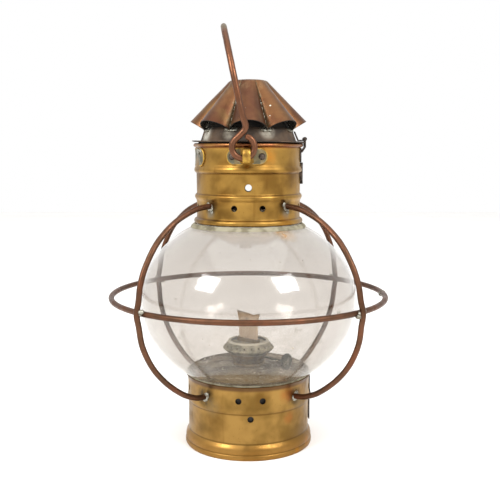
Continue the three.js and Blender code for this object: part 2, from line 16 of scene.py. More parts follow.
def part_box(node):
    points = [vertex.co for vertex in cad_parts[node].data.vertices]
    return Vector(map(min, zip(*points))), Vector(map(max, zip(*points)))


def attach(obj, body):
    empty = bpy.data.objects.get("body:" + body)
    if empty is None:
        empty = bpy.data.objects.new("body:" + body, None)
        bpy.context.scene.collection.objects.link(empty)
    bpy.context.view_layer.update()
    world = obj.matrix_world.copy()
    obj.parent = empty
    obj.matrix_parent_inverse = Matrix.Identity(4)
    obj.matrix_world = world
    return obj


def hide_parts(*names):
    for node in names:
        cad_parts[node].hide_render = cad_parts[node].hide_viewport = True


bl_info = {
    "name": "Onion Globe Ship Lantern",
    "version": (1, 0, 0),
    "blender": (4, 5, 0),
    "location": "View3D > Sidebar > Lantern",
    "description": "Builds an old onion-globe ship's lantern and the plain studio around it",
    "category": "Add Mesh",
}

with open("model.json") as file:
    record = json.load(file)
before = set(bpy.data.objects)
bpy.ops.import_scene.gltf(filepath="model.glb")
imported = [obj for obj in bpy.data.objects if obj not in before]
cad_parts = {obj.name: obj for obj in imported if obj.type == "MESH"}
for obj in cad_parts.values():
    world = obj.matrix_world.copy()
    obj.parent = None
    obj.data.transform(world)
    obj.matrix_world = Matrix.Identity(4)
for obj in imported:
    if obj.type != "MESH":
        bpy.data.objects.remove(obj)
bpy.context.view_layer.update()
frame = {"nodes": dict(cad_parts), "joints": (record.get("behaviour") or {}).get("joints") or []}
JOINTS = {joint["name"]: joint for joint in frame["joints"]}
MM = 0.001


# ---------------------------------------------------------------- places taken from the frame


def low(node):
    """Lowest height of a node, in millimetres."""
    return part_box(node)[0][2] / MM


def top(node):
    """Highest point of a node, in millimetres."""
    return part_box(node)[1][2] / MM


def reach(node):
    """Radius of a turned node about the lantern's axis, in millimetres."""
    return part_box(node)[1][0] / MM


def middle(node):
    """Centre of a node's box, in millimetres."""
    lowest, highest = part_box(node)
    return [(a + b) / 2 / MM for a, b in zip(lowest, highest)]


# ---------------------------------------------------------------- mesh helpers


def smoothed(points, rounds=2):
    """An open outline with its corners cut round, keeping its two ends."""
    for _ in range(rounds):
        softer = [points[0]]
        for a, b in zip(points, points[1:]):
            softer.append(tuple(p + (q - p) * 0.25 for p, q in zip(a, b)))
            softer.append(tuple(p + (q - p) * 0.75 for p, q in zip(a, b)))
        softer.append(points[-1])
        points = softer
    return points


def spline(points, steps=8):
    """A smooth curve through points of any dimension, with this many steps between each two."""
    curve = []
    for i in range(len(points) - 1):
        before = points[max(i - 1, 0)]
        after = points[min(i + 2, len(points) - 1)]
        for step in range(steps):
            t = step / steps
            curve.append(tuple(
                b + 0.5 * t * (c - a + t * (2 * a - 5 * b + 4 * c - d + t * (3 * (b - c) + d - a)))
                for a, b, c, d in zip(before, points[i], points[i + 1], after)
            ))
    curve.append(tuple(points[-1]))
    return curve


def thickened(outline, wall):
    """Closes an outline of a thin sheet: down its outer face, then back this far inside it."""
    inner = []
    for i, (r, z) in enumerate(outline):
        before = Vector(outline[max(i - 1, 0)])
        after = Vector(outline[min(i + 1, len(outline) - 1)])
        along = (after - before).normalized()
        inner.append((r - along.y * wall, z + along.x * wall))
    return list(outline) + inner[::-1]


def finished(name, mesh, material, smooth_angle=40):
    """Makes a mesh an object in the scene, with its material and its hard edges kept."""
    item = bpy.data.objects.new(name, mesh)
    bpy.context.scene.collection.objects.link(item)
    mesh.materials.clear()
    mesh.materials.append(material)
    mesh.shade_smooth()
    mesh.set_sharp_from_angle(angle=math.radians(smooth_angle))
    return item


def from_bmesh(name, bm, material, smooth_angle=40):
    bmesh.ops.recalc_face_normals(bm, faces=bm.faces)
    mesh = bpy.data.meshes.new(name)
    bm.to_mesh(mesh)
    bm.free()
    return finished(name, mesh, material, smooth_angle)


def wobble(place, scale, seed=0.0):
    """A smooth random value from -1 to 1 at a place in millimetres."""
    return noise.noise(Vector(place) * scale + Vector((seed, 3.7 * seed, -seed)))


def lathe(name, profile, material, segments=144, dent=0.0, dent_scale=0.03, seed=1.0, closed=True):
    """Turns a profile of (radius, height) about the axis; dent moves its wall in and out a little."""
    bm = bmesh.new()
    rings = []
    for r, z in profile:
        if r < 1e-6:
            rings.append([bm.verts.new((0, 0, z * MM))])
            continue
        ring = []
        for i in range(segments):
            a = 2 * math.pi * i / segments
            x, y = math.cos(a), math.sin(a)
            push = dent * wobble((x * r, y * r, z), dent_scale, seed) if dent else 0.0
            ring.append(bm.verts.new(((r + push) * x * MM, (r + push) * y * MM, z * MM)))
        rings.append(ring)
    pairs = list(zip(rings, rings[1:]))
    if closed and len(rings[0]) > 1:
        pairs.append((rings[-1], rings[0]))
    for a, b in pairs:
        for i in range(segments):
            j = (i + 1) % segments
            corners = [a[i % len(a)], a[j % len(a)], b[j % len(b)], b[i % len(b)]]
            corners = list(dict.fromkeys(corners))
            if len(corners) > 2:
                bm.faces.new(corners)
    return from_bmesh(name, bm, material)


def sweep(bm, points, radii, sides=20, rough=0.0, seed=0.0):
    """Runs a round section along a path of points in millimetres, with rounded ends."""
    path = [Vector(p) for p in points]
    tangents = []
    for i in range(len(path)):
        tangents.append((path[min(i + 1, len(path) - 1)] - path[max(i - 1, 0)]).normalized())
    side = tangents[0].orthogonal().normalized()
    caps = [(-0.95, 0.35), (-0.6, 0.8)]
    rings = []

    def ring(centre, along, radius):
        across = along.cross(side)
        verts = []
        for k in range(sides):
            a = 2 * math.pi * k / sides
            out = side * math.cos(a) + across * math.sin(a)
            spot = centre + out * radius
            spot += out * rough * wobble(spot, 0.22, seed)
            verts.append(bm.verts.new(spot * MM))
        rings.append(verts)

    for i, (centre, along) in enumerate(zip(path, tangents)):
        side = (side - along * side.dot(along)).normalized()
        radius = radii(i / (len(path) - 1)) if callable(radii) else radii
        if i == 0:
            for back, size in caps:
                ring(centre + along * back * radius * 0.6, along, radius * size)
        ring(centre, along, radius)
        if i == len(path) - 1:
            for back, size in reversed(caps):
                ring(centre - along * back * radius * 0.6, along, radius * size)
    for a, b in zip(rings, rings[1:]):
        for k in range(sides):
            m = (k + 1) % sides
            bm.faces.new([a[k], a[m], b[m], b[k]])
    bm.faces.new(rings[0][::-1])
    bm.faces.new(rings[-1])


def band_point(x, z, out, azimuth):
    """A point in metres on the band's wall: x along the wall, out from it, about an azimuth in degrees."""
    a = math.radians(azimuth) + x / WALL_R
    r = WALL_R + out
    return Vector((r * math.sin(a), -r * math.cos(a), z)) * MM


def bent_plate(name, width, bottom, upper, corner, azimuth, material, thick=1.2, rim=0.0, rise=0.25):
    """A rounded plate bent round the band. Its edge is rubbed bright, marked by the 'edge' attribute."""
    bm = bmesh.new()
    edge = bm.verts.layers.float.new("edge")
    half_w, half_h = width / 2, (upper - bottom) / 2
    mid = (bottom + upper) / 2
    insets = [0.0, 0.35, 0.9, 1.6, 2.6, 4.0, 5.6, min(half_h, 7.4) - 0.15]
    around = 72

    def outline(inset):
        r = max(corner - inset, 0.05)
        w, h = half_w - inset, half_h - inset
        points = []
        for k in range(around):
            quarter, t = divmod(k, around // 4)
            a = math.pi / 2 * (quarter + t / (around // 4 - 1))
            cx = (w - r) * (1 if quarter in (0, 3) else -1)
            cz = (h - r) * (1 if quarter in (0, 1) else -1)
            points.append((cx + r * math.cos(a), cz + r * math.sin(a)))
        return points

    def ring(inset, out):
        verts = []
        for x, z in outline(inset):
            lift = out + rise * wobble((x, z, azimuth), 0.12, 5.0) * min(inset / 3, 1)
            vert = bm.verts.new(band_point(x, mid + z, lift, azimuth))
            vert[edge] = max(0.0, 1 - inset / 2.2)
            verts.append(vert)
        return verts

    rings = [ring(0.0, 0.3)]
    for inset in insets:
        swell = rim * math.exp(-((inset - 0.9) / 0.9) ** 2)
        rings.append(ring(inset, thick - 0.3 * max(0, 0.35 - inset) / 0.35 + swell))
    for a, b in zip(rings, rings[1:]):
        for k in range(around):
            m = (k + 1) % around
            bm.faces.new([a[k], a[m], b[m], b[k]])
    bm.faces.new(rings[-1])
    bm.faces.new(rings[0][::-1])
    bmesh.ops.remove_doubles(bm, verts=bm.verts, dist=1e-6)
    return from_bmesh(name, bm, material, 50)


def around(r, azimuth, z):
    """A point in millimetres at a radius and an azimuth from the front, towards +X."""
    a = math.radians(azimuth)
    return Vector((r * math.sin(a), -r * math.cos(a), z))


# ---------------------------------------------------------------- node helpers


class Wire:
    """One output socket of a node tree, which adds its own maths nodes."""

    def __init__(self, nodes, socket):
        self.nodes = nodes
        self.socket = socket

    def _maths(self, operation, *values):
        return self.nodes.make("ShaderNodeMath", {"operation": operation}, dict(enumerate(values)))

    def __add__(self, other):
        return self._maths("ADD", self, other)

    def __radd__(self, other):
        return self._maths("ADD", other, self)

    def __sub__(self, other):
        return self._maths("SUBTRACT", self, other)

    def __rsub__(self, other):
        return self._maths("SUBTRACT", other, self)

    def __mul__(self, other):
        return self._maths("MULTIPLY", self, other)

    def __rmul__(self, other):
        return self._maths("MULTIPLY", other, self)

    def __truediv__(self, other):
        return self._maths("DIVIDE", self, other)

    def __pow__(self, other):
        return self._maths("POWER", self, other)


    def cos(self):
        return self._maths("COSINE", self)

    def sin(self):
        return self._maths("SINE", self)

    def fraction(self):
        return self._maths("FRACT", self)

    def at_least(self, value):
        return self._maths("MAXIMUM", self, value)

    def at_most(self, value):
        return self._maths("MINIMUM", self, value)


class Nodes:
    """A node tree that is built by calls."""

    def __init__(self, tree):
        self.tree = tree

    def make(self, kind, settings=None, sockets=None, output=0):
        """Adds a node, sets it up, fills its sockets and returns one of its outputs."""
        node = self.tree.nodes.new(kind)
        for key, value in (settings or {}).items():
            if key == "stops":
                self._stops(node.color_ramp, value)
            else:
                setattr(node, key, value)
        for key, value in (sockets or {}).items():
            target = node.inputs[key]
            if isinstance(value, Wire):
                self.tree.links.new(value.socket, target)
            else:
                target.default_value = value
        return Wire(self, node.outputs[output]) if len(node.outputs) else node

    @staticmethod
    def _stops(ramp, stops):
        while len(ramp.elements) < len(stops):
            ramp.elements.new(0.5)
        for element, (place, colour) in zip(ramp.elements, stops):
            element.position = place
            element.color = colour

    def place(self):
        return self.make("ShaderNodeTexCoord", output="Object")

    def stretched(self, vector, x, y, z):
        return self.make("ShaderNodeVectorMath", {"operation": "MULTIPLY"}, {0: vector, 1: (x, y, z)})

    def split(self, vector):
        x = self.make("ShaderNodeSeparateXYZ", sockets={0: vector})
        outputs = x.socket.node.outputs
        return [Wire(self, outputs[i]) for i in range(3)]

    def grain(self, scale, detail=4.0, vector=None, rough=0.55, distortion=0.0):
        vector = vector or self.place()
        return self.make("ShaderNodeTexNoise", sockets={
            "Vector": vector, "Scale": scale, "Detail": detail, "Roughness": rough, "Distortion": distortion,
        })

    def between(self, value, start, end):
        """0 below start, 1 above end, smooth between. It falls instead where start is above end."""
        return self.make("ShaderNodeMapRange", {"interpolation_type": "SMOOTHSTEP"}, {
            "Value": value, "From Min": start, "From Max": end, "To Min": 0.0, "To Max": 1.0,
        })

    def mixed(self, amount, first, second, blend="MIX"):
        return self.make("ShaderNodeMix", {"data_type": "RGBA", "blend_type": blend}, {
            0: amount, 6: first, 7: second,
        }, output=2)

    def blotched(self, grain, edges, light, dark):
        """Light patches in dark: grain is a noise's scale and detail, and edges are where it turns over."""
        return self.mixed(self.between(self.grain(*grain), *edges), light, dark)

    def near(self, spot, inner, outer):
        """1 within inner millimetres of a spot, falling to 0 at outer."""
        distance = self.make("ShaderNodeVectorMath", {"operation": "DISTANCE"}, {
            0: self.place(), 1: tuple(Vector(spot) * MM),
        }, output="Value")
        return self.between(distance, outer * MM, inner * MM)

    def attribute(self, name):
        return self.make("ShaderNodeAttribute", {"attribute_name": name}, output="Fac")

    def bump(self, height, strength, distance):
        return self.make(
            "ShaderNodeBump", sockets={"Height": height, "Strength": strength, "Distance": distance},
        )


def paint(red, green, blue, alpha=1.0):
    """A colour given in screen values from 0 to 255, as Blender's linear values."""
    linear = [c / 255 / 12.92 if c <= 10 else ((c / 255 + 0.055) / 1.055) ** 2.4 for c in (red, green, blue)]
    return (*linear, alpha)


def surface(name, tint, rough, metal, bumps=None, **extra):
    """A material that ends in one principled shader; extra sets further sockets."""
    material = bpy.data.materials.new(name)
    material.use_nodes = True
    material.node_tree.nodes.clear()
    nodes = Nodes(material.node_tree)
    sockets = {"Base Color": tint(nodes), "Roughness": rough(nodes), "Metallic": metal}
    if callable(metal):
        sockets["Metallic"] = metal(nodes)
    if bumps:
        sockets["Normal"] = bumps(nodes)
    for key, value in extra.items():
        key = key.replace("_", " ").title()
        sockets[key] = value(nodes) if callable(value) else value
    shader = nodes.make("ShaderNodeBsdfPrincipled", sockets=sockets)
    nodes.make("ShaderNodeOutputMaterial", sockets={"Surface": shader})
    return material


# ---------------------------------------------------------------- materials


def tarnished(nodes, bright, dull, dark, streak=0.5, patch=28.0):
    """Old sheet metal: large patches of bright and dull, vertical runs, and small dark freckles."""
    clouds = nodes.grain(patch, 3.0)
    base = nodes.mixed(nodes.between(clouds, 0.42, 0.66), bright, dull)
    broad = nodes.grain(patch * 0.45, 4.0, distortion=0.8)
    base = nodes.mixed(nodes.between(broad, 0.5, 0.68) * 0.45, base, dark)
    runs = nodes.grain(150.0, 3.0, nodes.stretched(nodes.place(), 1, 1, 0.12))
    base = nodes.mixed(nodes.between(runs, 0.58, 0.82) * streak, base, dark)
    freckles = nodes.grain(620.0, 2.0)
    return nodes.mixed(nodes.between(freckles, 0.66, 0.74) * 0.45, base, dark)


def worn_roughness(nodes, smooth, coarse, scale=70.0):
    return smooth + (coarse - smooth) * nodes.between(nodes.grain(scale, 5.0), 0.35, 0.7)


def handled(nodes, strength=0.25, distance=0.0004):
    """Shallow dents and a fine grain."""
    dents = nodes.grain(45.0, 2.0)
    fine = nodes.grain(900.0, 3.0)
    return nodes.bump(dents + 0.12 * fine, strength, distance)


SOLDER_GREY = paint(160, 158, 146)
GRIME = paint(46, 38, 28)
CRUST = paint(150, 145, 128)
ORANGE_STAIN = paint(160, 106, 32)


def marked(nodes, base, spots):
    """Lays stains over a colour. Each spot is (place, inner, outer, colour, strength)."""
    breakup = nodes.between(nodes.grain(160.0, 5.0), 0.3, 0.62)
    for place, inner, outer, colour, strength in spots:
        mask = nodes.near(place, inner, outer) * (0.35 + 0.65 * breakup) * strength
        base = nodes.mixed(mask, base, colour)
    return base


def rib_turn(z):
    """How far the ribs have turned round at a height, in degrees, from the band down to the base."""
    return BASE_TURN * (RIB_TOP_Z - z) / (RIB_TOP_Z - RIB_FOOT_Z)


def band_brass(look):
    def tint(nodes):
        _, _, z = nodes.split(nodes.place())
        base = tarnished(nodes, tuple(look.band_bright), tuple(look.band_dull), paint(96, 60, 20))
        copper = nodes.between(nodes.grain(60.0, 3.0), 0.3, 0.6)
        rim = nodes.between(z, 0.2985, 0.3005) * (0.55 + 0.45 * copper)
        base = nodes.mixed(rim, base, paint(130, 82, 52))
        # painted shade: a dark band at the band's top, just under the lid flange, stands in for the shade in
        # the gap there
        under = nodes.between(z, 0.2975, 0.299) * nodes.between(z, 0.3005, 0.2995)
        base = nodes.mixed(under * 0.7, base, paint(92, 34, 20))
        # painted shade: dark lines along the grooves at the beads, where shade falls
        for height, spread in ((0.2738, 0.0011), (0.2538, 0.0010), (0.2302, 0.0009)):
            line = nodes.between(z, height - spread, height) * nodes.between(z, height + spread, height)
            base = nodes.mixed(line * 0.6, base, paint(84, 52, 18))
        spots = []
        for azimuth in RIB_AZIMUTHS:
            spots.append((around(52, azimuth, RIB_TOP_Z - 1), 4.5, 12, GRIME, 0.8))
            spots.append((around(52, azimuth, RIB_TOP_Z - 8), 1.5, 7, CRUST, 0.5))
        spots.append((around(54, 42, 227), 3, 13, ORANGE_STAIN, 0.6))
        spots.append((around(52, 21, 291), 3, 12, paint(190, 120, 40), 0.5))
        spots.append((around(52, -66, 296), 2, 8, CRUST, 0.8))
        return marked(nodes, base, spots)

    return surface(
        "old_band_brass", tint, lambda n: worn_roughness(n, 0.3, 0.5), 1.0, handled,
    )


def base_brass(look):
    def tint(nodes):
        _, _, z = nodes.split(nodes.place())
        base = tarnished(nodes, tuple(look.base_bright), tuple(look.base_dull), paint(100, 66, 26))
        # painted shade: the flared lip above about 67 mm is darkened
        shaded_lip = nodes.between(z, 0.0665, 0.0695)
        base = nodes.mixed(shaded_lip * 0.85, base, paint(92, 66, 44))
        # painted highlight: the rolled foot bead below about 14 mm is lightened
        foot = nodes.between(z, 0.0165, 0.0125)
        base = nodes.mixed(foot * 0.5, base, paint(150, 108, 52))
        # painted shade: dark lines in the grooves of the foot and under the swage step
        for height, spread in ((0.0448, 0.0012), (0.0155, 0.0012), (0.0055, 0.0009)):
            line = nodes.between(z, height - spread, height) * nodes.between(z, height + spread, height)
            base = nodes.mixed(line * 0.65, base, paint(84, 58, 24))
        spots = []
        for azimuth in RIB_AZIMUTHS:
            spots.append((around(BASE_R, azimuth + BASE_TURN, RIB_FOOT_Z), 5, 14, GRIME, 0.9))
            spots.append(
                (around(BASE_R, azimuth + BASE_TURN + 8, RIB_FOOT_Z - 9), 2, 13, paint(120, 104, 76), 0.5),
            )
        spots.append((around(BASE_R, 38, 62), 3, 12, paint(150, 88, 40), 0.6))
        spots.append((around(BASE_R, 40, 38), 2, 9, paint(150, 88, 40), 0.55))
        spots.append((around(64, 66, 6), 2, 7, ORANGE_STAIN, 0.9))
        spots.append((around(64, 48, 3), 1, 5, ORANGE_STAIN, 0.8))
        return marked(nodes, base, spots)

    return surface(
        "old_base_brass", tint, lambda n: worn_roughness(n, 0.32, 0.52), 1.0, handled,
    )


def rod_copper(look):
    def tint(nodes):
        brown = nodes.blotched((55.0, 4.0), (0.35, 0.68), tuple(look.rod_brown), paint(82, 58, 42))
        red = nodes.between(nodes.grain(38.0, 2.0), 0.5, 0.7)
        brown = nodes.mixed(red * 0.5, brown, paint(112, 64, 42))
        return nodes.mixed(nodes.between(nodes.grain(420.0, 3.0), 0.6, 0.72) * 0.5, brown, paint(58, 38, 28))

    return surface(
        "tarnished_copper_rod", tint, lambda n: worn_roughness(n, 0.34, 0.55, 160.0), 0.9,
        lambda n: n.bump(n.grain(500.0, 4.0), 0.25, 0.0003),
    )


def bail_copper(look):
    def tint(nodes):
        _, _, z = nodes.split(nodes.place())
        brown = nodes.blotched((60.0, 4.0), (0.35, 0.68), tuple(look.rod_brown), paint(112, 72, 50))
        brown = nodes.mixed(nodes.between(nodes.grain(420.0, 3.0), 0.6, 0.72) * 0.5, brown, paint(62, 40, 30))
        worn = nodes.between(z, 0.406, 0.413)
        return nodes.mixed(worn * 0.85, brown, paint(112, 98, 70))

    return surface(
        "tarnished_bail_copper", tint, lambda n: worn_roughness(n, 0.32, 0.5, 160.0), 0.9,
        lambda n: n.bump(n.grain(380.0, 4.0), 0.25, 0.0004),
    )


def crown_copper(look):
    def tint(nodes):
        valley = nodes.attribute("valley")
        down = nodes.attribute("down")
        bright, red = tuple(look.crown_bright), paint(92, 58, 40)
        base = nodes.blotched((30.0, 4.0), (0.36, 0.64), bright, red)
        olive = nodes.between(nodes.grain(22.0, 3.0, distortion=0.8), 0.5, 0.68)
        base = nodes.mixed(olive * 0.5, base, paint(112, 88, 54))
        swirl = nodes.between(nodes.grain(46.0, 6.0, distortion=2.0), 0.52, 0.7) * nodes.between(
            down, 0.55, 0.1,
        )
        base = nodes.mixed(swirl * 0.45, base, paint(140, 112, 80))
        freckles = nodes.between(nodes.grain(300.0, 3.0), 0.64, 0.7)
        base = nodes.mixed(freckles * 0.4, base, paint(84, 52, 34))
        crust_break = nodes.between(nodes.grain(210.0, 5.0), 0.36, 0.62)
        crust = nodes.between(valley + 0.25 * crust_break, 0.72, 1.05)
        base = nodes.mixed(crust * 0.75, base, paint(116, 106, 84))
        white = nodes.between(valley + 0.5 * nodes.grain(260.0, 5.0), 1.16, 1.28) * nodes.between(
            down, 0.2, 0.5,
        )
        base = nodes.mixed(white, base, paint(190, 186, 170))
        spots = nodes.between(nodes.grain(170.0, 1.0), 0.765, 0.785)
        base = nodes.mixed(spots, base, paint(220, 212, 196))
        hem = nodes.between(down, 0.975, 1.0)
        return nodes.mixed(hem * 0.5, base, paint(82, 52, 36))

    def rough(nodes):
        valley = nodes.between(nodes.attribute("valley"), 0.6, 1.0)
        return worn_roughness(nodes, 0.34, 0.5) + 0.25 * valley

    return surface(
        "brown_crown_copper", tint, rough, 0.92,
        lambda n: n.bump(n.grain(38.0, 3.0) + 0.2 * n.grain(600.0, 3.0), 0.35, 0.0005),
    )


def lid_tin(look):
    def tint(nodes):
        base = nodes.blotched((50.0, 5.0), (0.35, 0.65), paint(88, 68, 50), paint(50, 39, 29))
        pale = nodes.between(nodes.grain(42.0, 6.0, distortion=1.2), 0.56, 0.7)
        base = nodes.mixed(pale * 0.4, base, paint(132, 118, 94))
        spots = [
            (around(46, -62, 312), 3, 11, paint(196, 192, 178), 0.9),
            (around(44, 24, 314), 3, 10, paint(178, 172, 156), 0.8),
            (around(46, -24, 312), 2, 8, paint(158, 150, 132), 0.7),
        ]
        return marked(nodes, base, spots)

    return surface(
        "heat_browned_tin", tint, lambda n: worn_roughness(n, 0.68, 0.88), 0.12,
        lambda n: n.bump(n.grain(260.0, 5.0), 0.4, 0.0004),
    )


def plate_metal(look):
    """Grey-green grime on the flat of a plate and brass showing at its rubbed edge."""

    def tint(nodes):
        edge = nodes.attribute("edge")
        brass = nodes.blotched((140.0, 4.0), (0.35, 0.65), paint(186, 148, 66), paint(132, 98, 44))
        grime = nodes.blotched((110.0, 5.0), (0.4, 0.62), paint(134, 118, 84), paint(96, 92, 74))
        pale = nodes.between(nodes.grain(190.0, 4.0), 0.58, 0.72)
        grime = nodes.mixed(pale * 0.6, grime, paint(168, 160, 138))
        return nodes.mixed(nodes.between(edge + 0.3 * nodes.grain(150.0, 3.0), 0.45, 0.8), grime, brass)

    return surface(
        "weathered_plate_brass", tint, lambda n: worn_roughness(n, 0.36, 0.6), 0.9,
        lambda n: n.bump(n.grain(330.0, 4.0), 0.35, 0.0004),
    )


def dark_metal(look):
    def tint(nodes):
        base = nodes.blotched((300.0, 4.0), (0.4, 0.65), paint(86, 74, 66), paint(48, 42, 38))
        return nodes.mixed(nodes.between(nodes.grain(520.0, 3.0), 0.6, 0.75) * 0.6, base, paint(120, 108, 92))

    return surface(
        "dark_rivet_metal", tint, lambda n: worn_roughness(n, 0.38, 0.6, 200.0), 0.85,
        lambda n: n.bump(n.grain(600.0, 4.0), 0.4, 0.0003),
    )


def solder_metal(look):
    def tint(nodes):
        base = nodes.blotched((240.0, 4.0), (0.4, 0.6), SOLDER_GREY, paint(112, 104, 90))
        return nodes.mixed(nodes.between(nodes.grain(420.0, 4.0), 0.58, 0.7) * 0.7, base, GRIME)

    return surface(
        "grey_solder", tint, lambda n: worn_roughness(n, 0.3, 0.6, 300.0), 0.7,
        lambda n: n.bump(n.grain(500.0, 4.0), 0.5, 0.0004),
    )


def putty_dry(look):
    def tint(nodes):
        base = nodes.blotched((120.0, 5.0), (0.4, 0.62), paint(146, 140, 118), paint(108, 100, 78))
        return nodes.mixed(
            nodes.between(nodes.grain(260.0, 4.0), 0.62, 0.74) * 0.7, base, paint(168, 160, 136),
        )

    return surface(
        "dry_putty", tint, lambda n: worn_roughness(n, 0.75, 0.95), 0.0,
        lambda n: n.bump(n.grain(240.0, 5.0), 0.6, 0.0008),
    )


def tank_tin(look):
    def tint(nodes):
        x, y, z = nodes.split(nodes.place())
        base = nodes.blotched((36.0, 5.0), (0.38, 0.62), paint(128, 116, 94), paint(66, 56, 43))
        rust = nodes.between(nodes.grain(60.0, 4.0), 0.56, 0.72)
        base = nodes.mixed(rust * 0.65, base, paint(118, 82, 48))
        dirt = nodes.between(nodes.grain(190.0, 6.0, distortion=1.5), 0.57, 0.66)
        base = nodes.mixed(dirt * 0.85, base, paint(214, 208, 194))
        # painted shade: the tank's outer rim and upper side wall are darkened
        shaded_lip = nodes.between((x * x + y * y) ** 0.5, 0.0555, 0.0585)
        base = nodes.mixed(shaded_lip * 0.8, base, paint(58, 46, 34))
        # painted shade: the tank's side wall below about 74 mm is painted almost black
        side = nodes.between(z, 0.0755, 0.0735)
        return nodes.mixed(side * 0.95, base, paint(26, 21, 16))

    return surface(
        "dirty_and_shaded_tank_tin", tint, lambda n: worn_roughness(n, 0.45, 0.8), 0.3,
        lambda n: n.bump(n.grain(90.0, 6.0), 0.5, 0.001),
    )


def gallery_tin(look):
    def tint(nodes):
        base = nodes.blotched((90.0, 5.0), (0.38, 0.62), paint(168, 160, 136), paint(112, 108, 88))
        _, _, z = nodes.split(nodes.place())
        base = nodes.mixed(nodes.between(z, 0.102, 0.1034) * 0.75, base, paint(212, 206, 188))
        specks = nodes.between(nodes.grain(420.0, 3.0), 0.63, 0.7)
        base = nodes.mixed(specks, base, paint(222, 216, 200))
        return nodes.mixed(nodes.between(nodes.grain(260.0, 3.0), 0.62, 0.72) * 0.7, base, paint(70, 64, 50))

    return surface(
        "grey_green_gallery_tin", tint, lambda n: worn_roughness(n, 0.45, 0.75), 0.55,
        lambda n: n.bump(n.grain(420.0, 4.0), 0.45, 0.0005),
    )


def bowl_brass(look):
    def tint(nodes):
        base = nodes.blotched((90.0, 5.0), (0.38, 0.64), paint(140, 118, 80), paint(98, 80, 52))
        specks = nodes.between(nodes.grain(360.0, 3.0), 0.65, 0.72)
        return nodes.mixed(specks, base, paint(206, 196, 172))

    return surface(
        "brown_bowl_brass", tint, lambda n: worn_roughness(n, 0.4, 0.7), 0.7,
        lambda n: n.bump(n.grain(380.0, 4.0), 0.4, 0.0005),
    )


def knob_metal(look):
    def tint(nodes):
        base = nodes.blotched((180.0, 4.0), (0.4, 0.62), paint(96, 96, 84), paint(54, 54, 48))
        return nodes.blotched((320.0, 3.0), (0.6, 0.72), base, paint(150, 146, 124))

    return surface(
        "milled_knob_metal", tint, lambda n: worn_roughness(n, 0.38, 0.6), 0.8,
        lambda n: n.bump(n.grain(600.0, 3.0), 0.3, 0.0003),
    )


def wick_cotton(look):
    """Woven cotton, on its own map in millimetres: warp cords along it and weft across."""

    def weave(nodes):
        uv = nodes.make("ShaderNodeUVMap", {"uv_map": "weave"})
        u, v, _ = nodes.split(uv)
        warp = (u * (2 * math.pi / 1.15)).sin()
        weft = (v * (2 * math.pi / 0.9)).sin()
        return u, v, warp, weft

    def tint(nodes):
        _, v, warp, weft = weave(nodes)
        soot = nodes.between(v + 3.2 * nodes.grain(260.0, 4.0), 104.0, 109.5)
        base = nodes.blotched((90.0, 4.0), (0.35, 0.65), paint(214, 192, 164), paint(192, 166, 136))
        # painted shade: the hollows of the weave are darkened, where the bump is lowest
        base = nodes.mixed((0.5 - 0.25 * warp - 0.25 * weft) * 0.45, base, paint(150, 124, 98))
        base = nodes.mixed(soot * 0.75, base, paint(124, 114, 100))
        scorch = nodes.near(Vector((-3, -3, 125)), 1.2, 5.5)
        base = nodes.mixed(scorch * 0.7, base, paint(84, 74, 64))
        black = nodes.between(v + 2.5 * nodes.grain(400.0, 3.0), 107.4, 110.0)
        return nodes.mixed(black * 0.4, base, paint(62, 56, 50))

    def bumps(nodes):
        _, _, warp, weft = weave(nodes)
        return nodes.bump(warp + weft + 0.8 * nodes.grain(900.0, 3.0), 0.5, 0.00025)

    return surface("woven_wick_cotton", tint, lambda n: worn_roughness(n, 0.85, 0.98), 0.0, bumps)


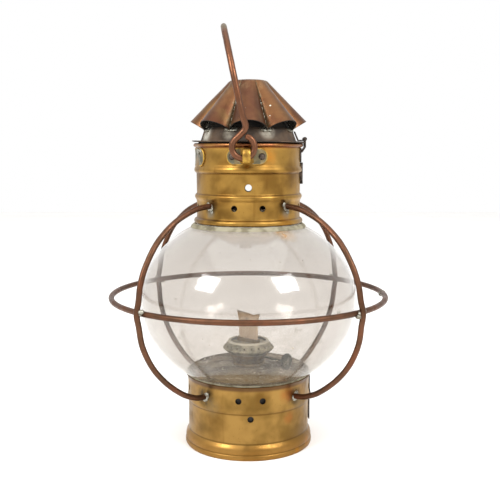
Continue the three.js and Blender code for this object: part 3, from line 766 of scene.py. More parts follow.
def globe_glass(look):
    """Clear old glass: a mirror at a glance and clear elsewhere, with dirt low down and at the neck."""

    def dirt(nodes):
        _, _, z = nodes.split(nodes.place())
        film = nodes.between(z, 0.112, 0.074) * (
            0.35 + 0.65 * nodes.between(nodes.grain(60.0, 5.0), 0.3, 0.7)
        )
        runs = nodes.between(nodes.grain(55.0, 5.0, distortion=1.5), 0.6, 0.74) * nodes.between(
            z, 0.128, 0.09,
        )
        neck = nodes.between(z, 0.214, 0.2245) * (
            0.4 + 0.6 * nodes.between(nodes.grain(120.0, 5.0), 0.4, 0.6)
        )
        specks = nodes.between(nodes.grain(330.0, 1.0), 0.775, 0.8)
        scrawl = nodes.near(around(106, 52, 146), 1.0, 4.5) * nodes.between(
            nodes.grain(300.0, 3.0, distortion=2.0), 0.5, 0.56,
        )
        amber = nodes.near(around(62, 36, 221), 3, 17) * (
            0.4 + 0.6 * nodes.between(nodes.grain(90.0, 4.0), 0.35, 0.6)
        )
        veil = 0.015 + 0.14 * film + 0.24 * runs + 0.5 * neck + 0.7 * specks + 0.7 * scrawl + 0.6 * amber
        colour = nodes.mixed(neck, tuple(look.glass_dirt), paint(128, 120, 94))
        colour = nodes.mixed(amber, colour, paint(176, 124, 48))
        return veil.at_most(0.92), nodes.mixed(scrawl, colour, paint(96, 80, 58))

    material = bpy.data.materials.new("old_blown_glass")
    material.use_nodes = True
    material.node_tree.nodes.clear()
    nodes = Nodes(material.node_tree)
    veil, colour = dirt(nodes)
    grime = nodes.make("ShaderNodeBsdfPrincipled", sockets={
        "Base Color": colour, "Roughness": 0.6, "Metallic": 0.0, "Alpha": 1.0,
    })
    ripples = nodes.bump(nodes.grain(9.0, 1.0), 0.3, 0.0012)
    gloss = nodes.make("ShaderNodeBsdfPrincipled", sockets={
        "Base Color": paint(255, 255, 255), "Roughness": 0.12, "Metallic": 1.0, "Alpha": 1.0,
        "Normal": ripples,
    })
    clear = nodes.make("ShaderNodeBsdfTransparent", sockets={"Color": tuple(look.glass_clear)})
    glancing = nodes.make("ShaderNodeLayerWeight", sockets={"Blend": 0.5, "Normal": ripples}, output="Facing")
    shine = 0.04 + 0.96 * glancing ** 5.0
    glass = nodes.make("ShaderNodeMixShader", sockets={0: shine.at_most(1.0), 1: clear, 2: gloss})
    whole = nodes.make("ShaderNodeMixShader", sockets={0: veil, 1: glass, 2: grime})
    nodes.make("ShaderNodeOutputMaterial", sockets={"Surface": whole})
    return material


def soot_black(look):
    def tint(nodes):
        return nodes.blotched((120.0, 4.0), (0.4, 0.65), paint(26, 22, 18), paint(50, 42, 33))

    return surface(
        "lamp_soot", tint, lambda n: worn_roughness(n, 0.7, 0.9), 0.1,
        lambda n: n.bump(n.grain(400.0, 4.0), 0.3, 0.0004),
    )


def studio_floor(look):
    def tint(nodes):
        return nodes.blotched((6.0, 2.0), (0.3, 0.7), paint(244, 243, 241), paint(247, 246, 244))

    return surface("pale_studio_floor", tint, lambda n: worn_roughness(n, 0.7, 0.8, 4.0), 0.0)


# ---------------------------------------------------------------- geometry node trees


def new_tree(name, inputs):
    """A geometry node tree with named inputs. Returns its nodes and a wire for each input."""
    tree = bpy.data.node_groups.new(name, "GeometryNodeTree")
    tree.interface.new_socket("Geometry", in_out="INPUT", socket_type="NodeSocketGeometry")
    for label, kind, default in inputs:
        socket = tree.interface.new_socket(label, in_out="INPUT", socket_type="NodeSocket" + kind)
        if default is not None:
            socket.default_value = default
    tree.interface.new_socket("Geometry", in_out="OUTPUT", socket_type="NodeSocketGeometry")
    nodes = Nodes(tree)
    group = tree.nodes.new("NodeGroupInput")
    given = {socket.name: Wire(nodes, socket) for socket in group.outputs if socket.name}
    return nodes, given


def close_tree(nodes, geometry, given):
    """Every tree ends the same way: real geometry, with its material."""
    real = nodes.make("GeometryNodeRealizeInstances", sockets={"Geometry": geometry})
    done = nodes.make("GeometryNodeSetMaterial", sockets={"Geometry": real, "Material": given["Material"]})
    nodes.make("NodeGroupOutput", sockets={"Geometry": done})
    return nodes.tree


def grow(item, tree, material, **values):
    """Runs a node tree on an object and keeps the result as its plain mesh."""
    modifier = item.modifiers.new(tree.name, "NODES")
    modifier.node_group = tree
    values["Material"] = material
    for socket in tree.interface.items_tree:
        if socket.in_out == "INPUT" and socket.name in values:
            modifier[socket.identifier] = values[socket.name]
    return keep_mesh(item, material)


def keep_mesh(item, material, smooth_angle=40):
    """Puts what the object's modifiers make into its mesh, and removes them."""
    graph = bpy.context.evaluated_depsgraph_get()
    mesh = bpy.data.meshes.new_from_object(
        item.evaluated_get(graph), preserve_all_data_layers=True, depsgraph=graph,
    )
    item.modifiers.clear()
    item.data = mesh
    mesh.materials.clear()
    mesh.materials.append(material)
    mesh.shade_smooth()
    mesh.set_sharp_from_angle(angle=math.radians(smooth_angle))
    return item


def drilling_tree():
    """Cuts a ring of round holes through a turned wall."""
    nodes, given = new_tree("Ring of holes", [
        ("Count", "Int", 4), ("Turn", "Float", 0.0), ("Height", "Float", 0.05), ("Reach", "Float", 0.06),
        ("Tilt", "Float", 0.0), ("Hole Radius", "Float", 0.003), ("Depth", "Float", 0.008),
        ("Material", "Material", None),
    ])
    circle = nodes.make(
        "GeometryNodeMeshCircle", sockets={"Vertices": given["Count"], "Radius": given["Reach"]},
    )
    lift = nodes.make("ShaderNodeCombineXYZ", sockets={2: given["Height"]})
    spin = nodes.make("ShaderNodeCombineXYZ", sockets={0: given["Tilt"], 2: given["Turn"]})
    circle = nodes.make(
        "GeometryNodeTransform", sockets={"Geometry": circle, "Translation": lift, "Rotation": spin},
    )
    drill = nodes.make("GeometryNodeMeshCylinder", sockets={
        "Vertices": 32, "Radius": given["Hole Radius"], "Depth": given["Depth"],
    })
    outwards = nodes.make("ShaderNodeVectorMath", {"operation": "MULTIPLY"}, {
        0: nodes.make("GeometryNodeInputPosition"), 1: (1, 1, 0),
    })
    aim = nodes.make("FunctionNodeAlignEulerToVector", {"axis": "Z"}, {"Vector": outwards})
    drills = nodes.make(
        "GeometryNodeInstanceOnPoints", sockets={"Points": circle, "Instance": drill, "Rotation": aim},
    )
    drills = nodes.make("GeometryNodeRealizeInstances", sockets={"Geometry": drills})
    holed = nodes.make("GeometryNodeMeshBoolean", {"operation": "DIFFERENCE", "solver": "EXACT"}, {
        "Mesh 1": given["Geometry"], "Mesh 2": drills,
    })
    return close_tree(nodes, holed, given)


def rods_tree():
    """Sweeps a round rod along a line of edges and repeats it round the axis."""
    nodes, given = new_tree("Rods round the axis", [
        ("Count", "Int", 4), ("Radius", "Float", 0.00275), ("Sides", "Int", 20),
        ("Roughness", "Float", 0.0001),
        ("Material", "Material", None),
    ])
    line = nodes.make("GeometryNodeMeshToCurve", sockets={0: given["Geometry"]})
    section = nodes.make("GeometryNodeCurvePrimitiveCircle", sockets={
        "Resolution": given["Sides"], "Radius": given["Radius"],
    })
    rod = nodes.make(
        "GeometryNodeCurveToMesh", sockets={"Curve": line, "Profile Curve": section, "Fill Caps": True},
    )
    grain = nodes.make("ShaderNodeTexNoise", sockets={"Scale": 160.0, "Detail": 2.0})
    push = nodes.make("ShaderNodeVectorMath", {"operation": "SCALE"}, {
        0: nodes.make("GeometryNodeInputNormal"), "Scale": (grain - 0.5) * given["Roughness"],
    })
    rod = nodes.make("GeometryNodeSetPosition", sockets={"Geometry": rod, "Offset": push})
    points = nodes.make("GeometryNodeMeshLine", sockets={"Count": given["Count"], "Offset": (0, 0, 0)})
    step = nodes.make("GeometryNodeInputIndex") / given["Count"] * (2 * math.pi)
    turn = nodes.make("ShaderNodeCombineXYZ", sockets={2: step})
    rods = nodes.make(
        "GeometryNodeInstanceOnPoints", sockets={"Points": points, "Instance": rod, "Rotation": turn},
    )
    return close_tree(nodes, rods, given)


def lumps_tree():
    """Sets a rounded lump of metal on every point, aimed along 'out' and sized by 'size'."""
    nodes, given = new_tree("Rivets and solder", [
        ("Roughness", "Float", 0.0003), ("Grain", "Float", 300.0), ("Seed", "Float", 0.0),
        ("Material", "Material", None),
    ])
    ball = nodes.make("GeometryNodeMeshUVSphere", sockets={"Segments": 28, "Rings": 16, "Radius": 1.0})
    out = nodes.make("GeometryNodeInputNamedAttribute", {"data_type": "FLOAT_VECTOR"}, {"Name": "out"})
    size = nodes.make("GeometryNodeInputNamedAttribute", {"data_type": "FLOAT_VECTOR"}, {"Name": "size"})
    aim = nodes.make("FunctionNodeAlignEulerToVector", {"axis": "Z"}, {"Vector": out})
    lumps = nodes.make("GeometryNodeInstanceOnPoints", sockets={
        "Points": given["Geometry"], "Instance": ball, "Rotation": aim, "Scale": size,
    })
    lumps = nodes.make("GeometryNodeRealizeInstances", sockets={"Geometry": lumps})
    grain = nodes.make("ShaderNodeTexNoise", {"noise_dimensions": "4D"}, {
        "W": given["Seed"], "Scale": given["Grain"], "Detail": 2.0,
    })
    push = nodes.make("ShaderNodeVectorMath", {"operation": "SCALE"}, {
        0: nodes.make("GeometryNodeInputNormal"), "Scale": (grain - 0.5) * given["Roughness"],
    })
    lumps = nodes.make("GeometryNodeSetPosition", sockets={"Geometry": lumps, "Offset": push})
    return close_tree(nodes, lumps, given)


def crown_tree():
    """The fluted crown: round lobes that widen from a flat top to an open hem, with sharp valleys."""
    nodes, given = new_tree("Fluted crown", [
        ("Lobes", "Int", 8), ("Roundness", "Float", 0.75), ("Top Height", "Float", 0.365),
        ("Ridge Top Radius", "Float", 0.0184), ("Ridge Top Height", "Float", 0.3636),
        ("Ridge Hem Radius", "Float", 0.0572), ("Ridge Hem Height", "Float", 0.3242),
        ("Valley Top Radius", "Float", 0.0176), ("Valley Top Height", "Float", 0.3634),
        ("Valley Hem Radius", "Float", 0.0456), ("Valley Hem Height", "Float", 0.315),
        ("Unevenness", "Float", 0.0008), ("Material", "Material", None),
    ])
    cap = 0.16
    grid = nodes.make("GeometryNodeMeshGrid", sockets={
        "Size X": 1.0, "Size Y": 1.0, "Vertices X": 385, "Vertices Y": 40,
    })
    across, along, _ = nodes.split(nodes.make("GeometryNodeInputPosition"))
    turn = across + 0.5
    down = 0.5 - along
    slope = ((down - cap) / (1 - cap)).at_least(0.0)
    lid = (down / cap).at_most(1.0)
    part = ((turn * given["Lobes"] + 0.5).fraction() - 0.5) * 2
    arch = (part * (math.pi / 2)).cos().at_least(0.0) ** given["Roundness"]

    def mix(edge, what):
        valley, ridge = given[f"Valley {edge} {what}"], given[f"Ridge {edge} {what}"]
        return valley + (ridge - valley) * arch

    radius = (mix("Top", "Radius") + (mix("Hem", "Radius") - mix("Top", "Radius")) * slope) * lid
    height = mix("Top", "Height") + (mix("Hem", "Height") - mix("Top", "Height")) * slope
    height = height + (given["Top Height"] - mix("Top", "Height")) * (1 - lid * lid)
    angle = turn * (2 * math.pi)
    spot = nodes.make("ShaderNodeCombineXYZ", sockets={
        0: radius * angle.sin(), 1: 0 - radius * angle.cos(), 2: height,
    })
    sheet = nodes.make("GeometryNodeStoreNamedAttribute", {"data_type": "FLOAT", "domain": "POINT"}, {
        "Geometry": grid, "Name": "valley", "Value": 1 - arch,
    })
    sheet = nodes.make("GeometryNodeStoreNamedAttribute", {"data_type": "FLOAT", "domain": "POINT"}, {
        "Geometry": sheet, "Name": "down", "Value": slope,
    })
    sheet = nodes.make("GeometryNodeSetPosition", sockets={"Geometry": sheet, "Position": spot})
    sheet = nodes.make("GeometryNodeMergeByDistance", sockets={"Geometry": sheet, "Distance": 1e-6})
    uneven = nodes.make("ShaderNodeTexNoise", sockets={"Scale": 32.0, "Detail": 2.0}, output="Color")
    uneven = nodes.make("ShaderNodeVectorMath", {"operation": "SUBTRACT"}, {0: uneven, 1: (0.5, 0.5, 0.5)})
    push = nodes.make(
        "ShaderNodeVectorMath", {"operation": "SCALE"}, {0: uneven, "Scale": given["Unevenness"]},
    )
    sheet = nodes.make("GeometryNodeSetPosition", sockets={"Geometry": sheet, "Offset": push})
    return close_tree(nodes, sheet, given)


def teeth_tree():
    """Repeats a small bar round an edge that lies across the z axis, such as a knob's milling."""
    nodes, given = new_tree("Milled edge", [
        ("Count", "Int", 44), ("Reach", "Float", 0.0078), ("Width", "Float", 0.0007),
        ("Length", "Float", 0.003),
        ("Material", "Material", None),
    ])
    circle = nodes.make(
        "GeometryNodeMeshCircle", sockets={"Vertices": given["Count"], "Radius": given["Reach"]},
    )
    bar = nodes.make("GeometryNodeMeshCylinder", sockets={
        "Vertices": 8, "Radius": given["Width"], "Depth": given["Length"],
    })
    bars = nodes.make("GeometryNodeInstanceOnPoints", sockets={"Points": circle, "Instance": bar})
    whole = nodes.tree.nodes.new("GeometryNodeJoinGeometry")
    for part in (given["Geometry"], bars):
        nodes.tree.links.new(part.socket, whole.inputs[0])
    return close_tree(nodes, Wire(nodes, whole.outputs[0]), given)


def drilled(item, material, rows):
    """Cuts rings of holes: (count, turn, tilt, height, reach, hole radius), in degrees and millimetres."""
    for count, turn, tilt, height, wall_r, hole_r in rows:
        grow(item, TREES["holes"], material, **{
            "Count": count, "Turn": math.radians(turn), "Tilt": math.radians(tilt), "Height": height * MM,
            "Reach": wall_r * MM,
            "Hole Radius": hole_r * MM, "Depth": 8 * MM,
        })
    return item


def lumps(name, material, places, rough=0.3, grain=300.0, seed=1.0):
    """Lumps of solder or rivet heads. Each place is (point, outwards, radius, height) in millimetres."""
    mesh = bpy.data.meshes.new(name)
    mesh.from_pydata([Vector(point) * MM for point, _, _, _ in places], [], [])
    out = mesh.attributes.new("out", "FLOAT_VECTOR", "POINT")
    size = mesh.attributes.new("size", "FLOAT_VECTOR", "POINT")
    for i, (_, outwards, radius, height) in enumerate(places):
        out.data[i].vector = Vector(outwards).normalized()
        size.data[i].vector = (radius * MM, radius * MM, height * MM)
    item = bpy.data.objects.new(name, mesh)
    bpy.context.scene.collection.objects.link(item)
    return grow(item, TREES["lumps"], material, Roughness=rough * MM, Grain=grain, Seed=seed)


def edge_line(name, points):
    """A chain of edges through points in millimetres, for a rod to follow."""
    mesh = bpy.data.meshes.new(name)
    mesh.from_pydata([Vector(p) * MM for p in points], [(i, i + 1) for i in range(len(points) - 1)], [])
    item = bpy.data.objects.new(name, mesh)
    bpy.context.scene.collection.objects.link(item)
    return item


# ---------------------------------------------------------------- sizes and colours a user may change

WALL_R = 51.3  # outside of the band's plain wall, in millimetres
BASE_R = 61.6  # outside of the base's plain wall
BASE_TURN = 2.0  # the base sits this many degrees round from the band
RIB_TOP_Z = 243.0
RIB_FOOT_Z = 58.2
RIB_AZIMUTHS = (45, 135, -135, -45)
LUG_AZIMUTHS = (-1.4, 181.4)
BURNER_TURN = -40.0


class LanternSizes(bpy.types.PropertyGroup):
    segments: IntProperty(name="Segments", description="Steps round every turned piece", default=160, min=32)
    sheet: FloatProperty(
        name="Sheet", description="Thickness of the brass and copper sheet", default=0.0009, unit="LENGTH")
    glass: FloatProperty(
        name="Glass", description="Thickness of the globe's wall", default=0.002, unit="LENGTH",
    )
    dents: FloatProperty(
        name="Dents", description="How far the old sheet has gone out of true", default=0.00035,
        unit="LENGTH")
    rod: FloatProperty(
        name="Guard rod", description="Radius of the ribs and the ring",
        default=(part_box("guard_ring")[1][2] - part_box("guard_ring")[0][2]) / 2, unit="LENGTH")
    bail_rod: FloatProperty(name="Bail rod", description="Radius of the bail", default=0.003, unit="LENGTH")
    lobes: IntProperty(name="Crown lobes", description="Round lobes of the crown", default=8, min=3)
    roundness: FloatProperty(
        name="Lobe roundness", description="Lower is fuller lobes and sharper valleys", default=0.6,
    )
    base_hole: FloatProperty(
        name="Base holes", description="Radius of the base's air holes", default=0.00305, unit="LENGTH",
    )
    band_hole: FloatProperty(
        name="Band holes", description="Radius of the band's large air holes", default=0.0035, unit="LENGTH",
    )
    knob_teeth: IntProperty(name="Knob teeth", description="Ridges round the wick knob", default=44, min=8)


def colour(name, description, red, green, blue):
    return FloatVectorProperty(
        name=name, description=description, subtype="COLOR", size=4, min=0, max=1,
        default=paint(red, green, blue))


class LanternColours(bpy.types.PropertyGroup):
    band_bright: colour("Band, bright", "Clean brass of the upper band", 161, 124, 61)
    band_dull: colour("Band, dull", "Tarnished brass of the upper band", 119, 88, 40)
    base_bright: colour("Base, bright", "Clean brass of the base", 153, 119, 64)
    base_dull: colour("Base, dull", "Tarnished brass of the base", 115, 87, 42)
    rod_brown: colour("Rods", "Tarnished copper of the ribs, ring and bail", 98, 66, 48)
    crown_bright: colour("Crown", "Rubbed copper of the crown", 118, 82, 52)
    glass_dirt: colour("Glass dirt", "Film low on the globe", 178, 166, 142)
    glass_clear: colour("Glass tint", "Tint of the clear glass", 239, 237, 235)


class LanternStudio(bpy.types.PropertyGroup):
    softbox: FloatProperty(
        name="Softboxes", description="Power of each front softbox", default=17.0, unit="POWER",
    )
    overhead: FloatProperty(
        name="Overhead", description="Power of the overhead light", default=20.0, unit="POWER",
    )
    world: FloatProperty(name="Surroundings", description="Brightness of the white surroundings", default=1.0)


TREES = {}
FINISHES = {}


def finish_for(key):
    """The material of that name, built the first time it is asked for."""
    if key not in FINISHES:
        FINISHES[key] = RECIPES[key](bpy.context.scene.lantern_colours)
    return FINISHES[key]


def refinish(node, key):
    """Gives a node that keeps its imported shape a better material."""
    for slot in frame["nodes"][node].material_slots:
        slot.material = finish_for(key)


def sooted(item, limit=-0.25):
    """Blackens the faces of a turned shell that look at its axis or down into it."""
    item.data.materials.append(finish_for("soot"))
    for face in item.data.polygons:
        out = Vector((face.center.x, face.center.y, 0)).normalized()
        if face.normal.dot(out) < limit:
            face.material_index = 1
    return item


def settle(item, body, *nodes, slot):
    """Makes a piece ride on a body and stand for nodes, whose imported parts it hides. The slot is not used.
    """
    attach(item, body)
    if nodes:
        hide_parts(*nodes)
    return item


# ---------------------------------------------------------------- the pieces


class Piece:
    """What every lantern operator shares."""

    bl_options = {"REGISTER", "UNDO"}

    @property
    def sizes(self):
        return bpy.context.scene.lantern_sizes

    def sheet_turning(self, name, outline, key, rounds=2, wall=None, seed=1.0, tallest=3.0, dent_scale=0.03):
        """A turned piece of thin sheet, from its outer outline in millimetres."""
        outline = with_rows(smoothed(outline, rounds), tallest)
        profile = thickened(outline, wall or self.sizes.sheet / MM)
        return lathe(
            name, profile, finish_for(key), self.sizes.segments, self.sizes.dents / MM, dent_scale, seed)


def with_rows(outline, tallest):
    """Splits the long steps of an outline, so that the faces on it stay short."""
    points = [outline[0]]
    for a, b in zip(outline, outline[1:]):
        parts = max(1, math.ceil(math.dist(a, b) / tallest))
        for i in range(1, parts + 1):
            points.append(tuple(p + (q - p) * i / parts for p, q in zip(a, b)))
    return points


class LANTERN_OT_base(Piece, bpy.types.Operator):
    """Build the base: its wall with air holes, rolled foot, lap seam and the seat of the globe"""

    bl_idname = "lantern.base"
    bl_label = "Base"

    def execute(self, context):
        foot_r = reach("base_shell")
        rim = top("base_shell") - 0.6
        outline = [
            (foot_r - 1.9, 0.0), (foot_r - 0.5, 0.0), (foot_r, 1.4), (foot_r, 4.0), (foot_r - 0.9, 5.4),
            (foot_r - 0.5, 7.0), (foot_r - 0.7, 10.2), (foot_r - 2.1, 13.0), (BASE_R - 0.6, 14.8),
            (BASE_R - 0.5, 17.5), (BASE_R - 0.5, 44.6), (BASE_R + 0.4, 46.2), (BASE_R + 0.8, 49.0),
            (BASE_R, 53.0), (BASE_R, 67.0), (BASE_R + 1.1, 70.0), (BASE_R + 2.4, rim),
        ]
        shell = self.sheet_turning("base_wall", outline, "base brass", seed=2.0)
        hole = self.sizes.base_hole / MM
        pair = 10.9
        drilled(shell, finish_for("base brass"), [
            (4, BASE_TURN - pair, 0, 58.3, BASE_R, hole),
            (4, BASE_TURN + pair, 0, 58.3, BASE_R, hole),
            (4, BASE_TURN, 0, 40.4, BASE_R, hole),
        ])
        settle(sooted(shell), "frame", "base_shell", slot="base_brass")

        seam = bmesh.new()
        strip = with_rows([(BASE_R + 0.5, 20.0), (BASE_R + 0.5, 44.0), (BASE_R + 1.6, 47.5),
        (BASE_R + 0.7, 53.0),
                           (BASE_R + 0.7, 66.0)], 4.0)
        rows = []
        for r, z in strip:
            rows.append([seam.verts.new(around(r, azimuth, z) * MM) for azimuth in (91, 93, 95, 97, 99)])
        for a, b in zip(rows, rows[1:]):
            for k in range(4):
                seam.faces.new([a[k], a[k + 1], b[k + 1], b[k]])
        seam = from_bmesh("base_lap_seam", seam, finish_for("dark metal"))
        thick = seam.modifiers.new("thickness", "SOLIDIFY")
        thick.thickness = 1.1 * MM
        thick.offset = 1.0
        keep_mesh(seam, finish_for("dark metal"))
        settle(seam, "frame", slot="base_brass")

        seat = lathe("globe_seat_putty", smoothed([
            (60.0, 69.6), (61.6, 70.6), (62.9, 72.2), (63.1, 73.4), (62.2, 74.2), (61.9, 72.8), (60.0, 72.7),
            (59.9, 69.8),
        ], 1), finish_for("putty"), self.sizes.segments, 0.25, 0.12, 4.0)
        settle(seat, "frame", "globe_seat_lower", slot="putty")
        for side in ("front", "left", "right"):
            refinish(f"font_spring_{side}", "plate")
        return {"FINISHED"}


class LANTERN_OT_band(Piece, bpy.types.Operator):
    """Build the upper band with its beads, rolled rims and air holes, and finish the inner stop ring"""

    bl_idname = "lantern.band"
    bl_label = "Upper band"

    def execute(self, context):
        bottom, upper, rim_r = low("upper_band"), top("upper_band"), reach("upper_band")
        outline = [
            (WALL_R + 1.0, bottom), (rim_r - 0.6, bottom + 0.5), (rim_r, bottom + 2.4),
            (rim_r - 0.7, bottom + 4.6),
            (WALL_R + 0.5, bottom + 5.4), (WALL_R, bottom + 6.6), (WALL_R, 247.0), (WALL_R + 1.2, 248.8),
            (WALL_R + 2.1, 251.0), (WALL_R + 1.5, 253.2), (WALL_R - 0.1, 254.4), (WALL_R, 256.0),
            (WALL_R, 273.4),
            (WALL_R + 0.1, 274.2), (WALL_R + 1.6, 275.2), (WALL_R + 2.3, 277.2), (WALL_R + 1.4, 280.0),
            (WALL_R, 282.0), (WALL_R, upper - 4.2), (rim_r - 1.5, upper - 3.9), (rim_r - 0.1, upper - 2.8),
            (rim_r, upper - 1.6), (rim_r - 0.7, upper - 0.4), (rim_r - 2.2, upper),
        ]
        band = self.sheet_turning("upper_band_wall", outline, "band brass", seed=3.0)
        small = 3.0
        pair = 15.2
        drilled(band, finish_for("band brass"), [
            (4, 0, -2.5, 258.8, WALL_R, self.sizes.band_hole / MM),
            (4, -pair, 0, 241.6, WALL_R, small),
            (4, pair, 0, 241.6, WALL_R, small),
        ])
        settle(sooted(band), "frame", "upper_band", slot="brass")
        refinish("globe_stop_ring", "lid tin")
        return {"FINISHED"}


class LANTERN_OT_globe(Piece, bpy.types.Operator):
    """Build the blown glass globe and the putty under the band"""

    bl_idname = "lantern.globe"
    bl_label = "Globe"

    def execute(self, context):
        foot, upper, globe_r = low("globe"), top("globe"), reach("globe")
        half = 88.0
        mid = 145.6
        neck_r = 49.6
        start = math.asin((foot - mid) / half)
        end = math.acos(52.6 / globe_r)
        steps = 72
        wall = [
            (globe_r * math.cos(a), mid + half * math.sin(a))
            for a in (start + (end - start) * i / steps for i in range(steps + 1))
        ]
        outline = wall + [(neck_r + 0.6, 223.4), (neck_r, 225.4), (neck_r, upper)]
        profile = thickened(outline, self.sizes.glass / MM)
        globe = lathe("blown_globe", profile, finish_for("glass"), 192, 0.5, 0.012, 6.0)
        settle(globe, "frame", "globe", slot="glass")

        def shoulder(r, clear):
            return (r, mid + half * math.sqrt(1 - (r / globe_r) ** 2) + clear)

        putty = lathe("shoulder_putty_ring", smoothed([
            shoulder(57.6, 0.2), (57.2, 221.9), (55.8, 223.2), (54.4, 224.2), (53.4, 224.4),
            shoulder(53.6, 0.2), shoulder(55.6, 0.2),
        ], 1), finish_for("putty"), self.sizes.segments, 0.18, 0.1, 7.0)
        settle(putty, "frame", "shoulder_putty", slot="putty")
        return {"FINISHED"}


class LANTERN_OT_guard(Piece, bpy.types.Operator):
    """Build the guard: four bent ribs, one ring, and the solder that joins them"""

    bl_idname = "lantern.guard"
    bl_label = "Guard"

    def execute(self, context):
        rod = self.sizes.rod / MM
        ring_r = reach("guard_ring") - rod
        ring_z = middle("guard_ring")[2]
        copper = finish_for("rod copper")
        section = [
            (ring_r + rod * math.cos(2 * math.pi * k / 20), ring_z + rod * math.sin(2 * math.pi * k / 20))
            for k in range(20)
        ]
        ring = lathe("guard_ring_rod", section, copper, 256, 0.25, 0.03, 8.0)
        settle(ring, "frame", "guard_ring", slot="copper_rod")

        outer = ring_r + 2 * rod
        line = spline([
            (WALL_R - 0.4, RIB_TOP_Z), (61.0, 242.4), (73.0, 240.0), (94.5, 230.8), (115.5, 214.6),
            (130.0, 194.6),
            (137.4, 177.0), (140.0, 163.0), (outer + 0.1, ring_z), (140.8, 140.0), (137.2, 121.0),
            (126.8, 100.4),
            (111.6, 83.0), (92.2, 68.0), (76.0, 60.4), (67.0, RIB_FOOT_Z + 0.3), (BASE_R + 0.1, RIB_FOOT_Z),
        ], 8)
        rib = edge_line("guard_ribs", [around(r, 45 + rib_turn(z), z) for r, z in line])
        ribs = grow(rib, TREES["rods"], copper, Count=4, Radius=self.sizes.rod, Sides=20, Roughness=0.25 * MM)
        names = [f"guard_rib_{end}_{side}" for end in ("front", "back") for side in ("right", "left")]
        settle(ribs, "frame", *names, slot="copper_rod")

        joints = []
        for azimuth in RIB_AZIMUTHS:
            at_ring = azimuth + rib_turn(ring_z)
            for lift, size in ((2.4, 3.2), (-2.6, 3.0), (0.0, 3.5)):
                joints.append(
                    (around(ring_r + rod + 0.2, at_ring + 0.5 * lift, ring_z + lift), (0, 0, 1), size, 2.2),
                )
            joints.append(
                (
                    around(BASE_R + 0.2, azimuth + BASE_TURN, RIB_FOOT_Z - 1.6), around(1, azimuth, 0),
                    3.6, 1.5,
                ),
            )
            joints.append(
                (
                    around(BASE_R + 0.2, azimuth + BASE_TURN + 2, RIB_FOOT_Z + 1.6),
                    around(1, azimuth, 0), 3.1, 1.3,
                ),
            )
            joints.append((around(WALL_R + 0.1, azimuth, RIB_TOP_Z - 1.4), around(1, azimuth, 0), 3.8, 1.7))
            joints.append(
                (around(WALL_R + 0.1, azimuth + 2, RIB_TOP_Z - 5.5), around(1, azimuth, 0), 1.9, 0.9),
            )
            joints.append(
                (around(WALL_R + 0.1, azimuth - 3, RIB_TOP_Z + 1.5), around(1, azimuth, 0), 2.4, 1.1),
            )
        splice = 92
        joints.append((around(ring_r, splice, ring_z), around(1, splice + 90, 0), rod + 0.45, 4.0))
        joints.append(
            (around(ring_r - 0.5, splice + 1.4, ring_z - 1.0), around(1, splice + 90, 0), rod + 0.3, 2.6),
        )
        solder = lumps("guard_solder", finish_for("solder"), joints, rough=0.9, grain=420.0, seed=2.0)
        settle(solder, "frame", slot="copper_rod")
        return {"FINISHED"}


